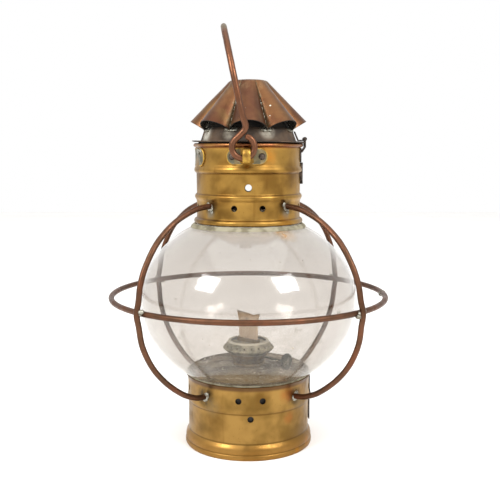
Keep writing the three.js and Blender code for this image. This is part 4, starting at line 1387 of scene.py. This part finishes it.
class LANTERN_OT_lugs(Piece, bpy.types.Operator):
    """Build the bail's two lugs with their staples and rivets, and the catch plate"""

    bl_idname = "lantern.lugs"
    bl_label = "Bail lugs"

    @staticmethod
    def staple(name, azimuth):
        foot = WALL_R + 0.9
        out = -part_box("lug_staple_front")[0][1] / MM - 0.1
        strap, half = 1.5, 2.9
        bottom, upper = low("lug_staple_front"), top("lug_staple_front")
        outer = smoothed([(foot, bottom), (out, bottom), (out, upper), (foot, upper)], 3)
        inner = smoothed([
            (foot, bottom + strap), (out - strap, bottom + strap), (out - strap, upper - strap),
            (foot, upper - strap),
        ], 3)
        bm = bmesh.new()
        sides = []
        for x in (-half, -half + 0.4, half - 0.4, half):
            shy = 0.25 if abs(x) == half else 0.0
            loop = []
            for (r, z), (ir, iz) in zip(outer, inner):
                a, b = Vector((r, z)), Vector((ir, iz))
                loop.append((a.lerp(b, shy), b.lerp(a, shy)))
            sides.append([
                (bm.verts.new(band_point(x, p.y, p.x - WALL_R, azimuth)),
                 bm.verts.new(band_point(x, q.y, q.x - WALL_R, azimuth)))
                for p, q in loop
            ])
        count = len(outer)
        for a, b in zip(sides, sides[1:]):
            for i in range(count - 1):
                bm.faces.new([a[i][0], a[i + 1][0], b[i + 1][0], b[i][0]])
                bm.faces.new([b[i][1], b[i + 1][1], a[i + 1][1], a[i][1]])
            for i in (0, count - 1):
                bm.faces.new([a[i][0], b[i][0], b[i][1], a[i][1]])
        for side in (sides[0], sides[-1]):
            for i in range(count - 1):
                bm.faces.new([side[i][0], side[i][1], side[i + 1][1], side[i + 1][0]])
        edge = bm.verts.layers.float.new("edge")
        for vert in bm.verts:
            vert[edge] = 0.85
        return from_bmesh(name, bm, finish_for("plate"), 50)

    def execute(self, context):
        bottom, upper = low("lug_plate_front"), top("lug_plate_front")
        width = 39.0
        plate_z = (bottom + upper) / 2
        rivets = []
        for side, azimuth in zip(("front", "back"), LUG_AZIMUTHS):
            plate = bent_plate(
                f"lug_plate_{side}_worn", width, bottom, upper, 7.6, azimuth, finish_for("plate"), 1.2,
                rim=0.45)
            settle(plate, "frame", f"lug_plate_{side}", slot="plate_brass")
            staple = self.staple(f"lug_staple_{side}_worn", azimuth)
            settle(staple, "frame", f"lug_staple_{side}", slot="plate_brass")
            for offset in (-13.9, 13.9):
                turn = azimuth + math.degrees(offset / WALL_R)
                rivets.append((around(WALL_R + 1.0, turn, plate_z), around(1, turn, 0), 3.25, 2.5))
        heads = lumps("lug_rivet_heads", finish_for("dark metal"), rivets, rough=0.35, grain=350.0, seed=4.0)
        nodes = [f"lug_rivet_{side}_{hand}" for side in ("front", "back") for hand in ("left", "right")]
        settle(heads, "frame", *nodes, slot="rivet_iron")

        catch = bent_plate(
            "catch_plate_worn", 36.0, 280.6, top("catch_plate"), 7.6, -74, finish_for("plate"), 1.2, rim=0.4)
        settle(catch, "frame", "catch_plate", slot="plate_brass")
        crust = []
        for k in range(9):
            turn = -68 + 12 * wobble((k, 0, 0), 0.7, 3.0)
            height = 295.5 + 3.0 * wobble((0, k, 0), 0.7, 9.0)
            crust.append((around(WALL_R + 1.0, turn, height), around(1, turn, 0), 1.5 + 0.2 * (k % 4), 0.9))
        crust = lumps("catch_plate_solder", finish_for("solder"), crust, rough=1.1, grain=500.0, seed=5.0)
        settle(crust, "frame", slot="plate_brass")
        return {"FINISHED"}


class LANTERN_OT_hinge(Piece, bpy.types.Operator):
    """Finish the lid's hinge and add the long leaf that is soldered down the band"""

    bl_idname = "lantern.hinge"
    bl_label = "Lid hinge"

    def execute(self, context):
        for node in ("hinge_leaf_band", "hinge_leaf_lid", "hinge_pin"):
            refinish(node, "dark metal")
        leaf = bent_plate(
            "hinge_tail_plate", 15.0, 263.0, 284.2, 5.0, 90, finish_for("dark metal"), 2.6, rim=0.2,
        )
        settle(leaf, "frame", slot="plate_brass")
        return {"FINISHED"}


class LANTERN_OT_lid(Piece, bpy.types.Operator):
    """Build the lid: the warped flange, the cone and the spigot inside the band"""

    bl_idname = "lantern.lid"
    bl_label = "Lid"

    def execute(self, context):
        flange_r, flange_z = reach("lid_flange"), low("lid_flange")
        inner_r = 41.0
        thick = 0.8
        profile = with_rows([(inner_r, flange_z + thick), (inner_r, flange_z)], 5)
        profile += with_rows([(inner_r, flange_z), (flange_r, flange_z)], 1.5)[1:]
        profile += with_rows([(flange_r + 0.3, flange_z + thick / 2), (flange_r, flange_z + thick)], 5)
        profile += with_rows([(flange_r, flange_z + thick), (inner_r, flange_z + thick)], 1.5)[1:-1]
        flange = lathe("lid_flange_warped", profile[::-1], finish_for("lid tin"), self.sizes.segments)
        rim_r = reach("upper_band")
        for vert in flange.data.vertices:
            r = math.hypot(vert.co.x, vert.co.y) / MM
            lean = -vert.co.x / MM / flange_r
            lift = 0.3 + 0.25 * lean + 0.1 * wobble(vert.co / MM, 0.05, 2.0)
            droop = max(0.0, r - rim_r) / (flange_r - rim_r) * max(0.0, -lean) ** 4 * 1.2
            curl = max(0.0, r - rim_r) / (flange_r - rim_r) * max(0.0, lean) ** 4 * 0.5
            vert.co.z += (lift - droop + curl) * MM
        hinge = JOINTS["lid_hinge"]["pos_m"]
        notch = 8.6
        bm = bmesh.new()
        bm.from_mesh(flange.data)
        bmesh.ops.triangulate(bm, faces=[f for f in bm.faces if len(f.verts) > 4])
        bm.to_mesh(flange.data)
        bm.free()
        cutter_mesh = bpy.data.meshes.new("hinge_notch")
        bm = bmesh.new()
        notch_at = Matrix.Translation((hinge[0] + 2.4 * MM, 0, hinge[2] - 2 * MM))
        notch_size = Matrix.Diagonal((8 * MM, 2 * notch * MM, 12 * MM, 1))
        bmesh.ops.create_cube(bm, size=1.0, matrix=notch_at @ notch_size)
        bm.to_mesh(cutter_mesh)
        bm.free()
        cutter = bpy.data.objects.new("hinge_notch", cutter_mesh)
        bpy.context.scene.collection.objects.link(cutter)
        cut = flange.modifiers.new("notch", "BOOLEAN")
        cut.object = cutter
        keep_mesh(flange, finish_for("lid tin"))
        bpy.data.objects.remove(cutter)
        settle(flange, "lid", "lid_flange", slot="old_tin")

        spigot_r, spigot_top = reach("lid_spigot"), top("lid_spigot")
        fillet = lathe("lid_spigot_solder", [
            (spigot_r - 0.8, spigot_top - 1.5), (spigot_r, spigot_top - 1.5), (spigot_r, flange_z + 0.65),
            (spigot_r - 0.8, flange_z + 0.65),
        ], finish_for("soot"))
        settle(fillet, "lid", slot="old_tin")

        foot = low("lid_cone")
        cone = self.sheet_turning("lid_cone_sheet", [
            (47.4, foot - 0.2), (46.9, foot + 1.0), (44.0, 314.2), (43.4, 316.2), (41.8, 317.4),
            (40.8, 318.2),
            (26.0, 344.0), (22.0, 346.0),
        ], "lid tin", wall=0.8, seed=9.0, dent_scale=0.06)
        cone.data.materials.append(finish_for("soot"))
        for face in cone.data.polygons:
            if face.center.z > 318.6 * MM or face.normal.z < 0:
                face.material_index = 1
        settle(cone, "lid", "lid_cone", slot="old_tin")
        refinish("lid_spigot", "lid tin")
        return {"FINISHED"}


class LANTERN_OT_crown(Piece, bpy.types.Operator):
    """Build the fluted crown and the solder in its valleys"""

    bl_idname = "lantern.crown"
    bl_label = "Crown"

    def execute(self, context):
        lobes = self.sizes.lobes
        hem_r = 57.2
        mesh = bpy.data.meshes.new("fluted_crown")
        crown = bpy.data.objects.new("fluted_crown", mesh)
        bpy.context.scene.collection.objects.link(crown)
        grow(crown, TREES["crown"], finish_for("crown copper"), **{
            "Lobes": lobes, "Roundness": self.sizes.roundness, "Top Height": top("crown") * MM,
            "Ridge Hem Radius": hem_r * MM,
        })
        bm = bmesh.new()
        bm.from_mesh(crown.data)
        bmesh.ops.recalc_face_normals(bm, faces=bm.faces)
        if sum(face.normal.z * face.calc_area() for face in bm.faces) < 0:
            bmesh.ops.reverse_faces(bm, faces=bm.faces)
        bm.to_mesh(crown.data)
        bm.free()
        wall = crown.modifiers.new("wall", "SOLIDIFY")
        wall.thickness = 0.7 * MM
        wall.offset = -1.0
        keep_mesh(crown, finish_for("crown copper"), 55)
        crown.data.materials.append(finish_for("soot"))
        for face in crown.data.polygons:
            if face.normal.z < -0.02:
                face.material_index = 1
        settle(crown, "lid", "crown", slot="crown_copper")

        places = []
        for k in range(lobes):
            valley = 180 / lobes + 360 / lobes * k
            for i in range(12):
                t = 0.42 + 0.045 * i + 0.03 * wobble((k, 2 * i, 1), 0.9, 2.0)
                r = 17.6 + (45.6 - 17.6) * t + 0.5
                z = 363.4 + (315.0 - 363.4) * t
                shift = 3.0 * wobble((k, i, 0), 0.9, 4.0)
                size = 0.7 + 1.6 * max(0.0, wobble((i, k, 2), 0.8, 6.0)) + 0.5 * t
                places.append((around(r, valley + shift, z + 0.2), around(1, valley, 0.8), size, 0.55))
            for i in range(4):
                turn = valley + 3.5 * (i - 1.5)
                places.append((around(43.6, turn, 315.8), around(1, turn, 1.2), 2.4 + 0.5 * (i % 2), 1.3))
        solder = lumps("crown_solder", finish_for("solder"), places, rough=1.5, grain=520.0, seed=6.0)
        settle(solder, "lid", slot="crown_copper")
        return {"FINISHED"}


class LANTERN_OT_bail(Piece, bpy.types.Operator):
    """Build the bail: one rod with an eye at each end, worn at its top"""

    bl_idname = "lantern.bail"
    bl_label = "Bail"

    def execute(self, context):
        eye_r, eye_out = 10.3, 60.5
        leg_out, leg_x, straight, height = 63.0, 4.9, 54.0, 117.9
        half = [
            (eye_r * math.cos(math.radians(a)), eye_out, eye_r * math.sin(math.radians(a)))
            for a in range(420, 119, -15)
        ]
        half += [
            (-0.6, eye_out, 11.6), (4.2, eye_out + 0.2, 15.0), (6.2, eye_out + 0.9, 19.4),
            (leg_x + 0.4, eye_out + 2.0, 26.0), (leg_x, leg_out, 34.0), (leg_x, leg_out, 44.0),
        ]
        arch = height - straight
        for step in range(8):
            a = math.radians(11.25 * step)
            half.append((leg_x, leg_out * math.cos(a), straight + arch * math.sin(a)))
        path = [(x, -out, up) for x, out, up in half] + [(leg_x, 0.0, height)]
        path += [(x, out, up) for x, out, up in half[::-1]]
        rod = self.sizes.bail_rod / MM

        def radius(t):
            worn = 0.3 * math.exp(-((t - 0.5) / 0.012) ** 2)
            tips = 0.35 * math.exp(-(min(t, 1 - t) / 0.012) ** 2)
            return rod - worn - tips

        bm = bmesh.new()
        sweep(bm, spline(path, 6), radius, 22, rough=0.12, seed=11.0)
        pivot = Vector(JOINTS["bail_swing"]["pos_m"])
        lean = math.radians(-11.8)
        bm.transform(Matrix.Translation(pivot) @ Matrix.Rotation(lean, 4, "Y"))
        bail = from_bmesh("bail_rod", bm, finish_for("bail copper"))
        settle(bail, "bail", "bail_handle", slot="copper_rod")
        return {"FINISHED"}


class LANTERN_OT_font(Piece, bpy.types.Operator):
    """Build the oil font with its dished, dirty top"""

    bl_idname = "lantern.font"
    bl_label = "Font"

    def execute(self, context):
        tank_r, bottom, rim = reach("font_tank"), low("font_tank"), 76.8
        neck = 14.7
        outer = [
            (0.0, bottom), (tank_r - 3, bottom), (tank_r - 0.4, bottom + 0.4), (tank_r, bottom + 2.5),
            (tank_r, rim - 2.0), (tank_r - 0.3, rim - 0.5), (tank_r - 1.4, rim), (tank_r - 2.6, rim - 0.9),
            (tank_r - 5.0, rim - 1.2), (36.0, rim - 0.5), (35.0, rim + 0.1), (33.8, rim - 0.3),
            (22.0, rim + 0.5),
            (neck + 1.5, rim + 1.1), (neck, rim + 1.4),
        ]
        tank = self.sheet_turning(
            "oil_tank", outer, "tank tin", rounds=2, wall=0.8, seed=12.0, dent_scale=0.05,
        )
        settle(tank, "font", "font_tank", slot="tank_tin")
        return {"FINISHED"}


class LANTERN_OT_burner(Piece, bpy.types.Operator):
    """Build the burner: screwed collar, perforated bowl and slotted gallery"""

    bl_idname = "lantern.burner"
    bl_label = "Burner"

    def execute(self, context):
        small = 96
        bowl_finish, tin = finish_for("bowl brass"), finish_for("gallery tin")
        foot = low("burner_collar")
        beads = []
        for k in range(5):
            z = 74.2 + 1.0 * k
            beads += [(14.35, z), (14.05, z + 0.5)]
        collar = lathe("burner_collar_screwed", smoothed([
            (13.5, foot), (14.3, foot), *beads, (14.4, 79.2), (16.4, 79.3), (17.0, 80.4), (17.0, 81.4),
            (16.4, 82.5),
            (13.5, 82.5),
        ], 1), bowl_finish, small)
        settle(collar, "font", "burner_collar", slot="bowl_brass")

        bowl = lathe("burner_bowl_pierced", thickened(with_rows(smoothed([
            (13.5, 82.9), (16.0, 82.9), (16.6, 83.8), (17.0, 85.2), (18.6, 87.9), (19.9, 89.6), (20.3, 91.3),
        ], 2), 1.0), 0.7), bowl_finish, small)
        drilled(bowl, bowl_finish, [(20, 4, 0, 87.2, 18.2, 0.85)])
        settle(bowl, "font", "burner_bowl", slot="bowl_brass")

        gallery = lathe("burner_gallery_pierced", thickened(with_rows(smoothed([
            (19.6, 91.6), (20.6, 91.6), (25.0, 95.2), (25.8, 96.0), (25.9, 96.6), (25.6, 97.3), (21.6, 101.9),
            (20.9, 103.4), (20.6, 104.4), (19.4, 104.5), (17.9, 104.2),
        ], 1), 1.0), 0.7), tin, small, 0.1, 0.15, 13.0)
        drilled(gallery, tin, [(20, 8, 0, 99.4, 23.4, 0.95)])
        settle(gallery, "font", "burner_gallery", slot="gallery_tin")
        refinish("draught_plate", "gallery tin")
        refinish("wick_tube", "bowl brass")
        return {"FINISHED"}


class LANTERN_OT_wick(Piece, bpy.types.Operator):
    """Build the flat cotton wick, spread and frayed where it has burnt"""

    bl_idname = "lantern.wick"
    bl_label = "Wick"

    def execute(self, context):
        half_w, half_t = 12.0, 1.5
        foot, upper = low("wick"), top("wick")
        around_count = 128
        rows = [i / 30 * 0.8 for i in range(30)] + [0.8 + 0.2 * i / 44 for i in range(45)]
        bm = bmesh.new()
        uv = bm.loops.layers.uv.new("weave")
        flat = {}
        rings = []

        def tip(x):
            share = x / half_w
            horns = 0.9 * abs(share) ** 5
            notch = 1.6 * math.exp(-((share - 0.35) / 0.22) ** 2)
            left = 0.9 * max(0.0, -share)
            fray = 0.45 * wobble((x, 0, 0), 1.1, 3.0) + 0.3 * wobble((x, 0, 0), 2.6, 5.0)
            return min(upper, upper - 2.6 + horns + left - notch + fray)

        for t in rows:
            ring = []
            for k in range(around_count):
                a = 2 * math.pi * k / around_count
                c, s = math.cos(a), math.sin(a)
                x = half_w * math.copysign(abs(c) ** 0.3, c)
                y = half_t * math.copysign(abs(s) ** 0.55, s)
                z = foot + (tip(x) - foot) * t
                flare = max(0.0, (z - 119) / (upper - 119)) ** 1.6
                cord = 0.07 * math.sin(2 * math.pi * x / 1.15)
                wide = x * (1 + 0.24 * flare)
                bulge = y * (1 + 0.15 * flare) + math.copysign(cord, y)
                sway = 0.7 * math.sin(x * 0.22) * flare
                vert = bm.verts.new((wide, bulge + sway, z))
                flat[vert] = (x if s > 0 else x + 100, z - foot)
                ring.append(vert)
            rings.append(ring)
        for inset in (0.55, 0.1):
            ring = []
            for vert in rings[len(rows) - 1]:
                x, y, z = vert.co
                sway = 0.7 * math.sin(x / 1.24 * 0.22)
                tuft = 0.35 * wobble((x, y * 3, z), 1.6, 8.0)
                inner = bm.verts.new(
                    (x * (0.985 if inset < 0.5 else 0.995), sway + (y - sway) * inset, z + tuft - 0.2),
                )
                flat[inner] = flat[vert]
                ring.append(inner)
            rings.append(ring)
        for a, b in zip(rings, rings[1:]):
            for k in range(around_count):
                m = (k + 1) % around_count
                bm.faces.new([a[k], a[m], b[m], b[k]])
        bm.faces.new(rings[0][::-1])
        bm.faces.new(rings[-1])
        for face in bm.faces:
            for loop in face.loops:
                loop[uv].uv = flat[loop.vert]
        bm.transform(Matrix.Rotation(math.radians(BURNER_TURN), 4, "Z") @ Matrix.Scale(MM, 4))
        wick = from_bmesh("woven_wick", bm, finish_for("wick cotton"), 60)
        settle(wick, "wick", "wick", slot="cotton")
        return {"FINISHED"}


class LANTERN_OT_knob(Piece, bpy.types.Operator):
    """Build the milled wick knob and finish its spindle and wheel"""

    bl_idname = "lantern.knob"
    bl_label = "Wick knob"

    def execute(self, context):
        radius, thick = 7.7, 3.2
        half = thick / 2
        profile = smoothed([
            (0.0, -half - 1.9), (2.5, -half - 1.9), (2.6, -half), (radius - 0.6, -half),
            (radius, -half + 0.5),
            (radius, half - 0.5), (radius - 0.6, half), (radius - 1.5, half), (radius - 2.0, half - 0.7),
            (3.6, half - 0.7), (2.8, half + 0.2), (1.4, half + 0.3), (1.0, half - 0.6), (0.0, half - 0.8),
        ], 1)
        knob = lathe("milled_wick_knob", profile, finish_for("knob metal"), 88, closed=False)
        grow(knob, TREES["teeth"], finish_for("knob metal"), Count=self.sizes.knob_teeth, Reach=radius * MM,
             Width=0.32 * MM, Length=(thick - 0.8) * MM)
        joint = JOINTS["knob_turn"]
        axis = Vector(joint["axis"]).normalized()
        knob_x = 45.0
        place = Matrix.Translation(Vector(joint["pos_m"]) + axis * knob_x * MM)
        knob.data.transform(place @ axis.to_track_quat("Z", "Y").to_matrix().to_4x4())
        settle(knob, "knob", "wick_knob", slot="knob_brass")
        refinish("wick_spindle", "knob metal")
        refinish("wick_wheel", "knob metal")
        return {"FINISHED"}


class LANTERN_OT_stage(Piece, bpy.types.Operator):
    """Build the pale floor, the soft studio light and the camera"""

    bl_idname = "lantern.stage"
    bl_label = "Studio"

    @staticmethod
    def lamp(name, azimuth, elevation, distance, size, power, aim):
        light = bpy.data.lights.new(name, "AREA")
        light.shape = "RECTANGLE"
        light.size, light.size_y = size
        light.energy = power
        item = bpy.data.objects.new(name, light)
        bpy.context.scene.collection.objects.link(item)
        a, e = math.radians(azimuth), math.radians(elevation)
        offset = Vector((math.sin(a) * math.cos(e), -math.cos(a) * math.cos(e), math.sin(e))) * distance
        item.location = aim + offset
        item.rotation_euler = (-offset).to_track_quat("-Z", "Y").to_euler()
        return item

    def execute(self, context):
        studio = context.scene.lantern_studio
        bm = bmesh.new()
        half = 3.0
        corners = [bm.verts.new((x * half, y * half, 0)) for x, y in ((-1, -1), (1, -1), (1, 1), (-1, 1))]
        bm.faces.new(corners)
        bmesh.ops.subdivide_edges(bm, edges=bm.edges, cuts=8, use_grid_fill=True)
        floor = from_bmesh("studio_floor", bm, finish_for("floor"))

        aim = Vector((0, 0, 0.17))
        self.lamp("softbox_left", -50, 36, 1.7, (0.62, 0.62), studio.softbox, aim)
        self.lamp("softbox_right", 46, 37, 1.7, (0.66, 0.66), studio.softbox, aim)
        self.lamp("overhead", 0, 84, 2.2, (2.4, 2.4), studio.overhead, aim)

        world = bpy.data.worlds.new("white_surroundings")
        context.scene.world = world
        world.use_nodes = True
        background = world.node_tree.nodes["Background"]
        background.inputs["Color"].default_value = (1.0, 1.0, 1.0, 1.0)
        background.inputs["Strength"].default_value = studio.world

        camera = bpy.data.cameras.new("studio_camera")
        camera.lens = 57.6
        camera.sensor_width = 36.0
        item = bpy.data.objects.new("studio_camera", camera)
        context.scene.collection.objects.link(item)
        item.location = (0.0016, -0.8, 0.2975)
        item.rotation_euler = (math.radians(90 - 7.2), 0, 0)
        context.scene.camera = item
        context.scene.view_settings.view_transform = "Standard"
        return {"FINISHED"}


class LANTERN_PT_sidebar(bpy.types.Panel):
    """The lantern's pieces, in the order in which they are made"""

    bl_idname = "LANTERN_PT_sidebar"
    bl_label = "Onion globe lantern"
    bl_space_type = "VIEW_3D"
    bl_region_type = "UI"
    bl_category = "Lantern"

    def draw(self, context):
        scene = context.scene
        for group in (scene.lantern_sizes, scene.lantern_colours, scene.lantern_studio):
            box = self.layout.box()
            for name in group.bl_rna.properties.keys():
                if name not in ("rna_type", "name"):
                    box.prop(group, name)
        for operator in OPERATORS:
            self.layout.operator(operator.bl_idname)


RECIPES = {
    "band brass": band_brass,
    "base brass": base_brass,
    "rod copper": rod_copper,
    "bail copper": bail_copper,
    "crown copper": crown_copper,
    "lid tin": lid_tin,
    "plate": plate_metal,
    "dark metal": dark_metal,
    "solder": solder_metal,
    "putty": putty_dry,
    "tank tin": tank_tin,
    "gallery tin": gallery_tin,
    "bowl brass": bowl_brass,
    "knob metal": knob_metal,
    "wick cotton": wick_cotton,
    "glass": globe_glass,
    "soot": soot_black,
    "floor": studio_floor,
}

OPERATORS = (
    LANTERN_OT_stage, LANTERN_OT_base, LANTERN_OT_band, LANTERN_OT_globe, LANTERN_OT_guard, LANTERN_OT_lugs,
    LANTERN_OT_hinge, LANTERN_OT_lid, LANTERN_OT_crown, LANTERN_OT_bail, LANTERN_OT_font, LANTERN_OT_burner,
    LANTERN_OT_wick, LANTERN_OT_knob,
)
GROUPS = (
    ("lantern_sizes", LanternSizes),
    ("lantern_colours", LanternColours),
    ("lantern_studio", LanternStudio),
)


def register():
    for name, group in GROUPS:
        bpy.utils.register_class(group)
        setattr(bpy.types.Scene, name, PointerProperty(type=group))
    for item in (*OPERATORS, LANTERN_PT_sidebar):
        bpy.utils.register_class(item)


def unregister():
    for item in (LANTERN_PT_sidebar, *reversed(OPERATORS)):
        bpy.utils.unregister_class(item)
    for name, group in reversed(GROUPS):
        delattr(bpy.types.Scene, name)
        bpy.utils.unregister_class(group)


def main():
    register()
    TREES["holes"] = drilling_tree()
    TREES["rods"] = rods_tree()
    TREES["lumps"] = lumps_tree()
    TREES["crown"] = crown_tree()
    TREES["teeth"] = teeth_tree()
    for operator in OPERATORS:
        _, name = operator.bl_idname.split(".")
        getattr(bpy.ops.lantern, name)()


if __name__ == "__main__":
    main()
